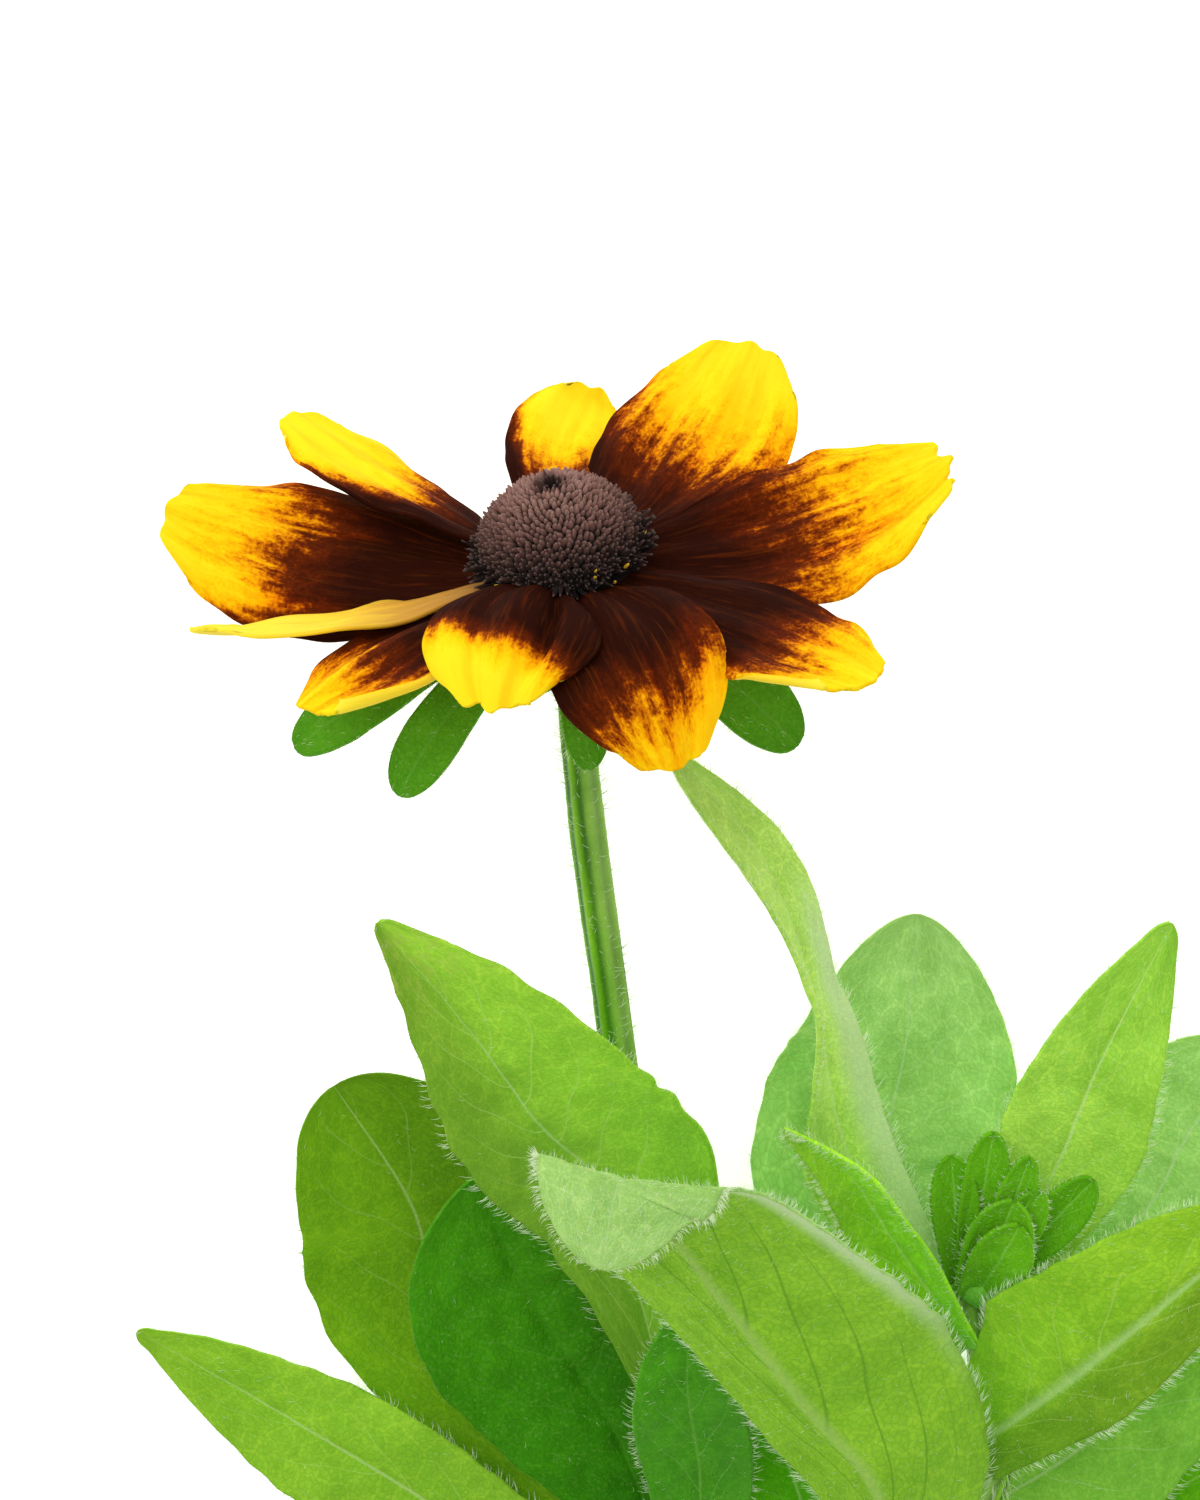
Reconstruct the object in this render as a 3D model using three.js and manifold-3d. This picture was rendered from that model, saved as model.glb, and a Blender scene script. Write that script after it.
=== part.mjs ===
// A cut stem of a dwarf, two-coloured black-eyed Susan, lying on its back on a table.
//
// Millimetres, +Z up. +Y runs along the stem to the bloom, +X is to the right of a viewer who looks down on the
// flower with the bloom at the top. The origin is the middle of the bounding box, on the table.
// The head's own frame has its axis along +Z, and the petals are set out round that axis.

import * as THREE from "three";
import { mergeVertices } from "three/addons/utils/BufferGeometryUtils.js";
import Module from "manifold-3d";

const wasm = await Module();
wasm.setup();

// Driving dimensions
const BLADE = 0.7; // thickness of petals, leaves and bracts
const GAP = 0.3; // clearance between pieces that touch
const STEM_RADIUS = 1.75;
const SHOOT_RADIUS = 1.35;
const DISC_RADIUS = 7.6;
const DISC_HEIGHT = 9.6;
const RAY_RING_RADIUS = 7.2; // the rim of the head, where the petals are rooted
const HEAD_CENTRE = new THREE.Vector3(0, 0, 32);
const HEAD_RISE = 19.6; // degrees that the head looks up from the table
const HEAD_HEADING = 9.2; // degrees that the head leans from +Y towards -X
const TABLE_EASE = 1.2; // a blade that meets the table bends onto it over this height

// Heights in the head's frame: the disc sits on the ray ring, and the ring on the green cup
const RING_TOP = -0.4;
const RING_FOOT = -2.6;
const CUP_TOP = RING_FOOT - 2 * GAP;
const CUP_FOOT = -6.6;

// The box's middle in the frame that the tables below are written in, so that the part can be centred
const CENTRE = new THREE.Vector3(15.76, -58.37, 0);

const vector = (p) => new THREE.Vector3(...p);
const radians = THREE.MathUtils.degToRad;
const mix = THREE.MathUtils.lerp;

const headMatrix = new THREE.Matrix4().compose(
  HEAD_CENTRE,
  new THREE.Quaternion().setFromEuler(
    new THREE.Euler(-radians(90 - HEAD_RISE), 0, radians(HEAD_HEADING), "ZXY"),
  ),
  new THREE.Vector3(1, 1, 1),
);
const headInverse = headMatrix.clone().invert();

// Solids

// The closed solid of a geometry whose vertices are shared
function solidOf(geometry) {
  const bare = geometry.clone();
  bare.deleteAttribute("normal");
  bare.deleteAttribute("uv");
  const merged = mergeVertices(bare, 1e-4);
  return new wasm.Manifold(
    new wasm.Mesh({
      numProp: 3,
      vertProperties: new Float32Array(merged.attributes.position.array),
      triVerts: new Uint32Array(merged.index.array),
    }),
  );
}

function geometryOf(solid) {
  const { numProp, vertProperties, triVerts } = solid.getMesh();
  const positions = [];
  for (let i = 0; i < vertProperties.length; i += numProp) {
    positions.push(vertProperties[i], vertProperties[i + 1], vertProperties[i + 2]);
  }
  return new THREE.BufferGeometry()
    .setAttribute("position", new THREE.Float32BufferAttribute(positions, 3))
    .setIndex([...triVerts]);
}

const join = (solids) => solids.reduce((all, next) => all.add(next));

// The largest body of a solid, without the scraps that a cut leaves
function largest(solid) {
  return solid.decompose().reduce((best, body) => (body.volume() > best.volume() ? body : best));
}

// Thin blades

// Lifts a point of a blade's middle surface onto the table, along a smooth bend
function overTable(point) {
  const height = point.z - BLADE / 2;
  if (height < -TABLE_EASE) point.z = BLADE / 2;
  else if (height < TABLE_EASE) point.z = BLADE / 2 + (height + TABLE_EASE) ** 2 / (4 * TABLE_EASE);
  return point;
}

// A closed blade round the surface middle(across, along), with across from -1 to 1 and along from 0 to 1.
// across x along points out of the upper face. Both faces are split into the same triangles.
function blade(middle, columns, rows, thickness = BLADE) {
  const step = 1e-3;
  const top = [];
  const under = [];
  for (let r = 0; r <= rows; r++) {
    const along = 1 - (1 - r / rows) ** 1.35;
    for (let c = 0; c <= columns; c++) {
      const across = (2 * c) / columns - 1;
      const left = middle(Math.max(across - step, -1), along);
      const right = middle(Math.min(across + step, 1), along);
      const back = middle(across, Math.max(along - step, 0));
      const front = middle(across, Math.min(along + step, 1));
      const normal = right.sub(left).cross(front.sub(back)).normalize();
      const point = middle(across, along);
      top.push(...point.clone().addScaledVector(normal, thickness / 2).toArray());
      under.push(...point.addScaledVector(normal, -thickness / 2).toArray());
    }
  }
  const width = columns + 1;
  const count = width * (rows + 1);
  const index = [];
  for (let r = 0; r < rows; r++) {
    for (let c = 0; c < columns; c++) {
      const a = r * width + c;
      const [b, d, e] = [a + 1, a + width, a + width + 1];
      index.push(a, b, e, a, e, d);
      index.push(a + count, e + count, b + count, a + count, d + count, e + count);
    }
  }
  const rim = [];
  for (let c = 0; c < columns; c++) rim.push(c);
  for (let r = 0; r < rows; r++) rim.push(r * width + columns);
  for (let c = columns; c > 0; c--) rim.push(rows * width + c);
  for (let r = rows; r > 0; r--) rim.push(r * width);
  rim.forEach((a, i) => {
    const b = rim[(i + 1) % rim.length];
    index.push(b, a, a + count, b, a + count, b + count);
  });
  return new THREE.BufferGeometry()
    .setAttribute("position", new THREE.Float32BufferAttribute([...top, ...under], 3))
    .setIndex(index);
}

// A blade's half width as a share of its widest: foot at the base, 1 at broadest, and a tip that is round
// where point is 0.5 and sharp where it is over 1
function outline(along, { foot, broadest, point }) {
  if (along < broadest) return mix(foot, 1, Math.sin((Math.PI / 2) * (along / broadest)) ** 1.3);
  return Math.max(Math.cos((Math.PI / 2) * ((along - broadest) / (1 - broadest))), 0.002) ** point;
}

// Which two entries of an evenly spaced list lie either side of a place along it, and how far between them
function stepAlong(list, along) {
  const place = along * (list.length - 1);
  const first = Math.min(Math.floor(place), list.length - 2);
  return [first, place - first];
}

// Leaves: spine is the midrib from root to tip. across lists the directions from the left margin to the right
// one, from root to tip, for a leaf seen on its upper face with the tip up. cup bends the section into an arc
// of that many degrees, fold lifts both halves and wave ripples the margins. halves lists, from root to tip, how
// wide the left and the right half are as shares of half the width.
function leafMiddle(shape) {
  const { spine, across, width, cup = 20, fold = 0.08, wave = 0.05, waves = 3, foot = 0.3 } = shape;
  const { broadest = 0.5, point = 0.8, halves = [[1, 1], [1, 1]] } = shape;
  const midrib = new THREE.CatmullRomCurve3(spine.map(vector), false, "catmullrom", 0.5);
  const sides = across.map(vector);
  const bend = radians(cup) || 1e-3;
  return (s, t) => {
    const centre = midrib.getPoint(t);
    const tangent = midrib.getTangent(t);
    const [first, between] = stepAlong(sides, t);
    const side = sides[first].clone().lerp(sides[first + 1], between);
    side.addScaledVector(tangent, -side.dot(tangent)).normalize();
    const up = side.clone().cross(tangent);
    const [pair, share] = stepAlong(halves, t);
    const hand = s < 0 ? 0 : 1;
    const fullness = mix(halves[pair][hand], halves[pair + 1][hand], share);
    const half = (width / 2) * outline(t, { foot, broadest, point }) * fullness;
    const ripple = wave * s * s * Math.sin(2 * Math.PI * waves * t + (s > 0 ? 0 : 2));
    const lift = (1 - Math.cos(bend * s)) / bend + fold * Math.abs(s) + ripple;
    centre.addScaledVector(side, (half * Math.sin(bend * s)) / bend).addScaledVector(up, half * lift);
    return overTable(centre);
  };
}

// Leaves on the flowering stem, from the top one down
const STEM_LEAVES = {
  leaf_upper_left: {
    spine: [[10, -88.5, 12.3], [4.5, -65.2, 20], [-2.1, -58.2, 24], [-8.9, -47.3, 27], [-18.1, -36.1, 28]],
    across: [[0.77, 0.52, 0.37], [0.8, 0.59, 0.14]],
    width: 25.3,
    halves: [[0.74, 1.17], [0.74, 1.17]],
    foot: 0.25,
    broadest: 0.36,
    cup: 14,
  },
  leaf_shaded: {
    spine: [[9.9, -106, 8], [4.5, -92, 9.5], [-4, -78, 10.5], [-9, -66, 10.5]],
    across: [[1, 0.2, 0], [1, 0.2, 0]],
    width: 25,
    foot: 0.35,
    broadest: 0.62,
    point: 0.6,
  },
  leaf_round_left: {
    spine: [[10, -106.5, 6], [-0.1, -95.9, 3.5], [-12, -83, 1], [-16.2, -71, -0.5], [-23.8, -59, -1]],
    across: [[0.8, 0.59, 0], [0.8, 0.6, 0]],
    width: 25,
    foot: 0.3,
    broadest: 0.68,
    point: 0.47,
    cup: 16,
  },
  leaf_low_left: {
    spine: [[11, -116, 4.5], [-6, -106.5, 7], [-19.4, -98.4, 6], [-32.1, -91.8, 2.3], [-44.5, -85.2, -1]],
    across: [[0.4, 0.9, -0.04], [0.31, 0.99, -0.05]],
    width: 14.5,
    broadest: 0.47,
    cup: 14,
  },
  leaf_small_centre: {
    spine: [[12.8, -119, 6], [13.7, -97.7, 14.5], [12.3, -85.7, 21], [12.3, -76.1, 23]],
    across: [[1, 0.02, -0.04], [1, 0.08, 0.06]],
    width: 11.9,
    foot: 0.35,
    broadest: 0.53,
    point: 0.6,
    cup: 25,
  },
};

// Leaves on the side shoot. The tip of the curled one folds over towards the viewer.
const SHOOT_LEAVES = {
  leaf_curled_front: {
    spine: [
      [31, -116.3, 8],
      [31.6, -97.5, 20],
      [22.7, -83, 30],
      [13.6, -68.5, 39],
      [7.2, -59.6, 45.5],
      [5.2, -58.4, 49],
      [3.6, -64.6, 51],
    ],
    across: [[-0.75, -0.66, 0], [-0.81, -0.4, -0.25], [-0.97, 0.02, -0.23], [-0.98, 0.08, -0.06]],
    width: 23.5,
    halves: [[1.2, 0.6], [1.4, 0.5], [1.08, 1], [1, 1.1]],
    foot: 0.45,
    broadest: 0.35,
    point: 0.64,
    cup: 10,
    rows: 16,
  },
  leaf_behind_curled: {
    spine: [[27, -118.3, 6.8], [24.5, -102, 9.5], [21, -92, 10.8], [17, -82, 11]],
    across: [[0.95, 0.3, 0], [0.95, 0.3, 0]],
    width: 13,
    foot: 0.4,
    broadest: 0.5,
  },
  leaf_narrow_arched: {
    spine: [[37.6, -79.6, 12.8], [28.3, -62.4, 13.5], [25, -46.3, 17], [19.8, -32.4, 16], [10.3, -21.4, 14]],
    across: [[0.8, 0.5, -0.18], [0.83, 0.33, -0.38], [0.2, 0.19, -0.97], [0.62, 0.35, -0.69], [0.8, 0.59, -0.06]],
    width: 10.8,
    halves: [[1.1, 0.9], [1.1, 0.9]],
    foot: 0.6,
    broadest: 0.29,
    point: 0.64,
    cup: 25,
  },
  leaf_round_back: {
    spine: [[38.8, -80.4, 10.3], [32.8, -67.9, 4], [34.9, -54.8, 0], [36, -41, -1]],
    across: [[1, 0, 0.03], [1, 0, 0]],
    width: 27.3,
    foot: 0.25,
    broadest: 0.34,
    point: 0.57,
    cup: 12,
  },
  leaf_folded_small: {
    spine: [[40.6, -83, 14.3], [32.3, -69.6, 19], [27.8, -62.7, 21], [21.7, -58.2, 22]],
    across: [[0.81, 0.52, 0.24], [0.78, 0.44, 0.42]],
    width: 8,
    foot: 0.5,
    broadest: 0.3,
    cup: 60,
  },
  leaf_pointed_right: {
    spine: [[42.6, -80, 11], [49.8, -64.8, 10.5], [53.9, -54.4, 10.5], [61.2, -40.4, 7.5]],
    across: [[1, -0.3, -0.05], [1, -0.32, -0.08]],
    width: 15,
    foot: 0.4,
    broadest: 0.45,
    point: 0.74,
    cup: 18,
  },
  leaf_back_right: {
    spine: [[43.2, -82.6, 9.8], [58.5, -72.4, 4], [64.3, -63.8, 0], [71, -54.4, -1]],
    across: [[0.9, -0.5, 0], [0.9, -0.5, 0]],
    width: 20.2,
    foot: 0.22,
    broadest: 0.62,
    point: 0.59,
    cup: 10,
  },
  leaf_broad_right: {
    spine: [[41.5, -93.5, 13.8], [49, -86.3, 18.8], [53.8, -81.8, 20.6], [63.5, -72.9, 22], [72, -66, 21]],
    across: [[0.65, -0.75, 0.15], [0.65, -0.75, 0.2]],
    width: 17,
    halves: [[0.8, 0.75], [1.4, 0.75], [1.25, 0.75], [1.2, 0.75]],
    foot: 0.75,
    broadest: 0.4,
    point: 0.7,
    cup: 16,
  },
  leaf_low_right: {
    spine: [[43.2, -100.8, 9.8], [50.8, -97, 7.5], [61.2, -90, 4], [76, -80, -1]],
    across: [[0.5, -0.85, 0], [0.5, -0.85, 0]],
    width: 19,
    foot: 0.5,
    broadest: 0.45,
    cup: 12,
  },
  leaf_lowest_right: {
    spine: [[38.2, -108.8, 8.2], [48.5, -109, 5.5], [60, -103.5, 2.6], [76, -95, -1]],
    across: [[0.4, -0.9, 0], [0.4, -0.9, 0]],
    width: 15,
    foot: 0.4,
    broadest: 0.45,
    cup: 12,
  },
};

// Stems

// A ribbed stem section
function ribbedSection(radius, ribs) {
  const points = [];
  for (let i = 0; i < 2 * ribs; i++) {
    const angle = (Math.PI * i) / ribs;
    const reach = radius * (i % 2 ? 0.93 : 1.05);
    points.push(new THREE.Vector2(reach * Math.cos(angle), reach * Math.sin(angle)));
  }
  return new THREE.Shape(points);
}

function stalk(path, radius, ribs, steps) {
  return new THREE.ExtrudeGeometry(ribbedSection(radius, ribs), { steps, extrudePath: path });
}

const underHead = (depth) => new THREE.Vector3(0, 0, -depth).applyMatrix4(headMatrix);
const stemPath = new THREE.CatmullRomCurve3([
  underHead(-CUP_FOOT + 2 * GAP),
  vector([1.9, -22.9, 25.6]),
  vector([5.1, -49.3, 19.4]),
  vector([8.1, -72.7, 13.6]),
  vector([11.4, -101, 7.3]),
  vector([15.2, -135, 1.9]),
]);
const shootPath = new THREE.CatmullRomCurve3([
  vector([13.8, -127, 3.6]),
  vector([18.6, -123.4, 5.2]),
  vector([29.4, -117.4, 6.8]),
  vector([37.5, -109.4, 8.3]),
  vector([43.2, -100.2, 10]),
  vector([44.5, -93.5, 11.3]),
  vector([42.6, -86.8, 12.3]),
  vector([41.4, -78, 14.1]),
]);

// The bloom

// Petals round the head: turn is the angle round the axis, rise the slope at the root and at the tip,
// twist the roll at the root and at the tip, and upper whether it is in the upper of the two layers.
const PETALS = [
  { turn: 4, length: 32.3, rise: [-14, 28], twist: [-28, -15], width: 18.5, cup: 5, upper: true },
  { turn: 56, length: 32.3, rise: [-6, 26], twist: [0, -14], width: 19.3, cup: -4, upper: false },
  { turn: 81, length: 32, rise: [5, 0], twist: [9, -15], width: 17, cup: 22, upper: false },
  { turn: 133, length: 31.2, rise: [10, 18], twist: [-33, -18], width: 13, cup: -12, upper: true },
  { turn: 158, length: 34.9, rise: [-1, 21], twist: [15, 16], width: 18.2, cup: -16, upper: false },
  { turn: 181, length: 30, rise: [-6, 11], twist: [-16, -26], width: 13.9, cup: -8, upper: true },
  { turn: 211, length: 24.5, rise: [12, -16], twist: [4, 0], width: 17.5, cup: -18, upper: false },
  { turn: 252, length: 21.5, rise: [43, -44], twist: [14, 0], width: 17.4, cup: -22, upper: true },
  { turn: 286, length: 26.8, rise: [34, -66], twist: [3, 0], width: 17, cup: -6, upper: false },
  { turn: 315, length: 31.6, rise: [-2, -7], twist: [-3, 2], width: 14.9, cup: 3, upper: true },
];

const PETAL_ROOT_RADIUS = 5;
const UPPER_LAYER = -0.9;
const LOWER_LAYER = -1.6;

// The point of a petal's middle surface, in the head's frame
function petalMiddle({ turn, length, rise, twist, width, cup, upper, notch = 0.018 }) {
  const angle = radians(turn);
  const out = new THREE.Vector3(Math.cos(angle), Math.sin(angle), 0);
  const level = new THREE.Vector3(Math.sin(angle), -Math.cos(angle), 0);
  const [first, last] = rise.map(radians);
  const turnRate = last - first || 1e-4;
  const bend = radians(cup) || 1e-3;
  return (s, t) => {
    const slope = first + turnRate * t;
    const reach = PETAL_ROOT_RADIUS + (length * (Math.sin(slope) - Math.sin(first))) / turnRate;
    const height = (upper ? UPPER_LAYER : LOWER_LAYER) + (length * (Math.cos(first) - Math.cos(slope))) / turnRate;
    const along = out.clone().multiplyScalar(Math.cos(slope)).setZ(Math.sin(slope));
    const up = out.clone().multiplyScalar(-Math.sin(slope)).setZ(Math.cos(slope));
    const roll = radians(mix(twist[0], twist[1], t));
    const side = level.clone().multiplyScalar(Math.cos(roll)).addScaledVector(up, Math.sin(roll));
    const face = up.clone().multiplyScalar(Math.cos(roll)).addScaledVector(level, -Math.sin(roll));
    const half = (width / 2) * petalOutline(t);
    const pleat = 0.035 * Math.cos(3 * Math.PI * s);
    const lift = (1 - Math.cos(bend * s)) / bend + pleat;
    const lobe = 0.1 * (1 - Math.abs(s) ** 3) - 0.06 + notch * Math.cos((2 * Math.PI * s) / 0.7);
    const point = out.clone().multiplyScalar(reach).setZ(height);
    point.addScaledVector(along, length * lobe * t ** 8);
    point.addScaledVector(side, (half * Math.sin(bend * s)) / bend).addScaledVector(face, half * lift);
    return overTable(point.applyMatrix4(headMatrix)).applyMatrix4(headInverse);
  };
}

// A petal's half width as a share of its widest
function petalOutline(along) {
  const broadest = 0.62;
  if (along < broadest) return mix(0.26, 1, Math.sin((Math.PI / 2) * (along / broadest)) ** 1.2);
  return mix(0.45, 1, Math.cos((Math.PI / 2) * ((along - broadest) / (1 - broadest))) ** 0.75);
}

function rayPetals() {
  const ring = new THREE.CylinderGeometry(RAY_RING_RADIUS, RAY_RING_RADIUS - 0.8, RING_TOP - RING_FOOT, 40);
  ring.rotateX(Math.PI / 2).translate(0, 0, (RING_TOP + RING_FOOT) / 2);
  const room = new THREE.CylinderGeometry(DISC_RADIUS + 0.7, DISC_RADIUS + 0.7, 6, 40);
  room.rotateX(Math.PI / 2).translate(0, 0, RING_TOP + 3);
  const petals = PETALS.map((petal) => solidOf(blade(petalMiddle(petal), 8, 7)));
  return geometryOf(largest(join([solidOf(ring), ...petals]).subtract(solidOf(room))));
}

// The domed disc: a turned shape whose vertices are raised and sunk by turns, as rows of florets
function disc() {
  const floretsRound = 24;
  const rows = 14;
  const relief = 0.28;
  const dimple = 1.3;
  const profile = [new THREE.Vector2(0, RING_TOP + GAP)];
  for (let i = 0; i <= rows; i++) {
    const angle = mix(-0.22, 1, i / rows) * (Math.PI / 2) * 0.9;
    const radius = DISC_RADIUS * Math.cos(angle) ** 0.92;
    const height = RING_TOP + GAP + 1.9 + (DISC_HEIGHT - 2) * Math.sin(angle);
    profile.push(new THREE.Vector2(i ? radius : DISC_RADIUS - 0.6, i ? height : RING_TOP + GAP));
  }
  const crown = profile[profile.length - 1];
  profile.push(new THREE.Vector2(0, crown.y - dimple * 0.4));
  const dome = new THREE.LatheGeometry(profile, 2 * floretsRound);
  const position = dome.attributes.position;
  for (let i = 0; i < position.count; i++) {
    const row = i % profile.length;
    if (row < 2 || row === profile.length - 1) continue;
    const sign = (Math.floor(i / profile.length) + row) % 2 ? 1 : -1;
    const p = new THREE.Vector3().fromBufferAttribute(position, i);
    const centre = new THREE.Vector3(0, RING_TOP + 2, 0);
    const out = p.clone().sub(centre).normalize();
    p.addScaledVector(out, sign * relief * Math.min(1, Math.hypot(p.x, p.z) / 5));
    position.setXYZ(i, p.x, p.y, p.z);
  }
  return geometryOf(solidOf(dome.rotateX(Math.PI / 2)));
}

// Green bracts round the cup under the petals
const BRACTS = [
  { turn: 22, length: 14, rise: [-30, -60], width: 5 },
  { turn: 56, length: 14, rise: [-30, -60], width: 5 },
  { turn: 90, length: 13, rise: [-30, -60], width: 5 },
  { turn: 124, length: 14, rise: [-25, -55], width: 5 },
  { turn: 158, length: 15, rise: [-20, -50], width: 5 },
  { turn: 192, length: 26.5, rise: [-6, -26], width: 5 },
  { turn: 212, length: 22, rise: [-16, -46], width: 4.6 },
  { turn: 240, length: 11, rise: [-15, -45], width: 4.6 },
  { turn: 268, length: 15, rise: [-25, -67], width: 4 },
  { turn: 300, length: 14, rise: [-15, -45], width: 5 },
  { turn: 331, length: 23, rise: [-20, -52], width: 5.8 },
  { turn: 354, length: 14, rise: [-30, -60], width: 5 },
];

function bractMiddle({ turn, length, rise, width }) {
  const angle = radians(turn);
  const out = new THREE.Vector3(Math.cos(angle), Math.sin(angle), 0);
  const side = new THREE.Vector3(Math.sin(angle), -Math.cos(angle), 0);
  const [first, last] = rise.map(radians);
  const turnRate = last - first || 1e-4;
  return (s, t) => {
    const slope = first + turnRate * t;
    const reach = 3.6 + (length * (Math.sin(slope) - Math.sin(first))) / turnRate;
    const height = CUP_TOP - 1.6 + (length * (Math.cos(first) - Math.cos(slope))) / turnRate;
    const up = out.clone().multiplyScalar(-Math.sin(slope)).setZ(Math.cos(slope));
    const half = (width / 2) * outline(t, { foot: 0.7, broadest: 0.55, point: 0.5 });
    const point = out.clone().multiplyScalar(reach).setZ(height);
    point.addScaledVector(side, half * s).addScaledVector(up, 0.12 * half * s * s);
    return overTable(point.applyMatrix4(headMatrix)).applyMatrix4(headInverse);
  };
}

function bracts() {
  const profile = [
    [0, CUP_FOOT],
    [STEM_RADIUS + 0.3, CUP_FOOT],
    [3.4, CUP_FOOT + 1.1],
    [5.2, CUP_TOP - 1.2],
    [5.8, CUP_TOP],
    [0, CUP_TOP],
  ].map(([x, y]) => new THREE.Vector2(x, y));
  const cup = new THREE.LatheGeometry(profile, 32).rotateX(Math.PI / 2);
  const blades = BRACTS.map((bract) => solidOf(blade(bractMiddle(bract), 3, 5)));
  return geometryOf(largest(join([solidOf(cup), ...blades])));
}

// The young leaves at the tip of the side shoot: small blades rooted in a knob, as root, tip and width
const CROWN = [41.7, -76.4, 15.2];
const YOUNG_LEAVES = [
  { root: [40, -76, 13.8], tip: [38.6, -62.3, 16.5], width: 3.9 },
  { root: [40.5, -75.5, 13.8], tip: [42.8, -59.8, 17], width: 3.6 },
  { root: [42, -75.5, 14.5], tip: [46.4, -62.2, 17.6], width: 2.9 },
  { root: [42, -76, 14.8], tip: [47.6, -65.5, 18], width: 3.2 },
  { root: [41, -77, 15], tip: [44.8, -66.3, 19.2], width: 6 },
  { root: [41, -77.5, 15.2], tip: [45.3, -68.6, 20], width: 5.2 },
  { root: [42.6, -76, 14], tip: [53, -65, 15.6], width: 4.2 },
  { root: [42.5, -76, 13.6], tip: [50.3, -68.2, 14.6], width: 4 },
];

const CROWN_RADIUS = 2;
const crownKnob = (radius) => new THREE.SphereGeometry(radius, 12, 8).translate(...CROWN);

function youngLeaves() {
  const knob = crownKnob(CROWN_RADIUS);
  const blades = YOUNG_LEAVES.map(({ root, tip, width }) => {
    const from = vector(root);
    const to = vector(tip);
    const along = to.clone().sub(from);
    const side = new THREE.Vector3(along.y, -along.x, 0).normalize();
    const up = side.clone().cross(along).normalize();
    const middle = (s, t) => {
      const half = (width / 2) * outline(t, { foot: 0.6, broadest: 0.6, point: 0.5 });
      const lift = 0.3 * half * s * s + 0.9 * Math.sin(Math.PI * t);
      return from.clone().lerp(to, t).addScaledVector(side, half * s).addScaledVector(up, lift);
    };
    return solidOf(blade(middle, 3, 4));
  });
  return geometryOf(largest(join([solidOf(knob), ...blades])));
}

// The scene graph

const finish = (color, roughness) =>
  new THREE.MeshStandardMaterial({ color, roughness, metalness: 0 });
const looks = {
  petal: finish(0xf2c311, 0.55),
  disc: finish(0x3f2a2c, 0.9),
  stem: finish(0x6fa02c, 0.6),
  leaf: finish(0x6db02e, 0.6),
  bract: finish(0x3f8a1f, 0.65),
};

const flower = new THREE.Group();
const named = (name, geometry, material, parent = flower) => {
  const mesh = new THREE.Mesh(geometry, material);
  mesh.name = name;
  parent.add(mesh);
  return mesh;
};

const head = new THREE.Group();
head.applyMatrix4(headMatrix);
flower.add(head);
named("disc", disc(), looks.disc, head);
named("ray_petals", rayPetals(), looks.petal, head);
named("bracts", bracts(), looks.bract, head);

const stemSolid = solidOf(stalk(stemPath, STEM_RADIUS, 7, 20));
const shootSolid = solidOf(stalk(shootPath, SHOOT_RADIUS, 6, 10));
const stemRoom = solidOf(stalk(stemPath, STEM_RADIUS + GAP, 7, 20));
const shootRoom = solidOf(stalk(shootPath, SHOOT_RADIUS + GAP, 6, 10));
named("stem", geometryOf(stemSolid), looks.stem);
const crownRoom = solidOf(crownKnob(CROWN_RADIUS + GAP));
named("side_shoot", geometryOf(largest(shootSolid.subtract(stemRoom).subtract(crownRoom))), looks.stem);
named("young_leaves", youngLeaves(), looks.leaf);

const leafSolid = (shape) => solidOf(blade(leafMiddle(shape), 6, shape.rows ?? 9));
for (const [name, shape] of Object.entries({ ...STEM_LEAVES, ...SHOOT_LEAVES })) {
  const clear = leafSolid(shape).subtract(stemRoom).subtract(shootRoom);
  named(name, geometryOf(largest(clear)), looks.leaf);
}

flower.position.copy(CENTRE).negate();
flower.updateMatrixWorld(true);

export default flower;
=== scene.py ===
# %% [markdown]
# # A cut black-eyed Susan, built around its imported solids
# The imported solids fix where everything is. Each one is replaced by a finer piece in the same place: petals
# with veins and a painted base, a centre of separate florets, ribbed and hairy stems, and leaves with
# veins, blisters and a fringe of hairs. The tables of places are in millimetres, in the frame the flower
# was measured in.

# %% Load the solids and set the middle of their box
import math

import bmesh
import bpy
import numpy as np
from mathutils import Matrix, Vector


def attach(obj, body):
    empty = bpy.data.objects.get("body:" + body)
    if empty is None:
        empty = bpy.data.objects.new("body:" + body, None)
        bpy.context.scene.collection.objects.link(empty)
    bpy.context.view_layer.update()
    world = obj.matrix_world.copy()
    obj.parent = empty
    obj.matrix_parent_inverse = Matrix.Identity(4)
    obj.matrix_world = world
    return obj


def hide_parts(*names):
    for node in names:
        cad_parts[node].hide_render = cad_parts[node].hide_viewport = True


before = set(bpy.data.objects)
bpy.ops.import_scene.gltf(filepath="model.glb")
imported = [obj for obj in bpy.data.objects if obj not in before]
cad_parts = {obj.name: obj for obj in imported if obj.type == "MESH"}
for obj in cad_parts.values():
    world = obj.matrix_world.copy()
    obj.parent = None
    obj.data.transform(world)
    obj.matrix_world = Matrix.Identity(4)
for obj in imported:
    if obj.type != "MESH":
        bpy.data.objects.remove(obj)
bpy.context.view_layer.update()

MM = 0.001
CENTRE = np.array([15.76, -58.37, 0.0])  # the middle of the box, in the frame of the tables
BODY = "root"


def to_metres(points):
    """Places from the tables' frame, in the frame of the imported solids."""
    return (np.asarray(points, float) - CENTRE) * MM


# %% [markdown]
# The camera comes first, because everything is judged through it. It looks almost straight down on the
# table from half a metre, leaning back by ten degrees, with a long lens, as in the picture that the flower
# follows.

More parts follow.
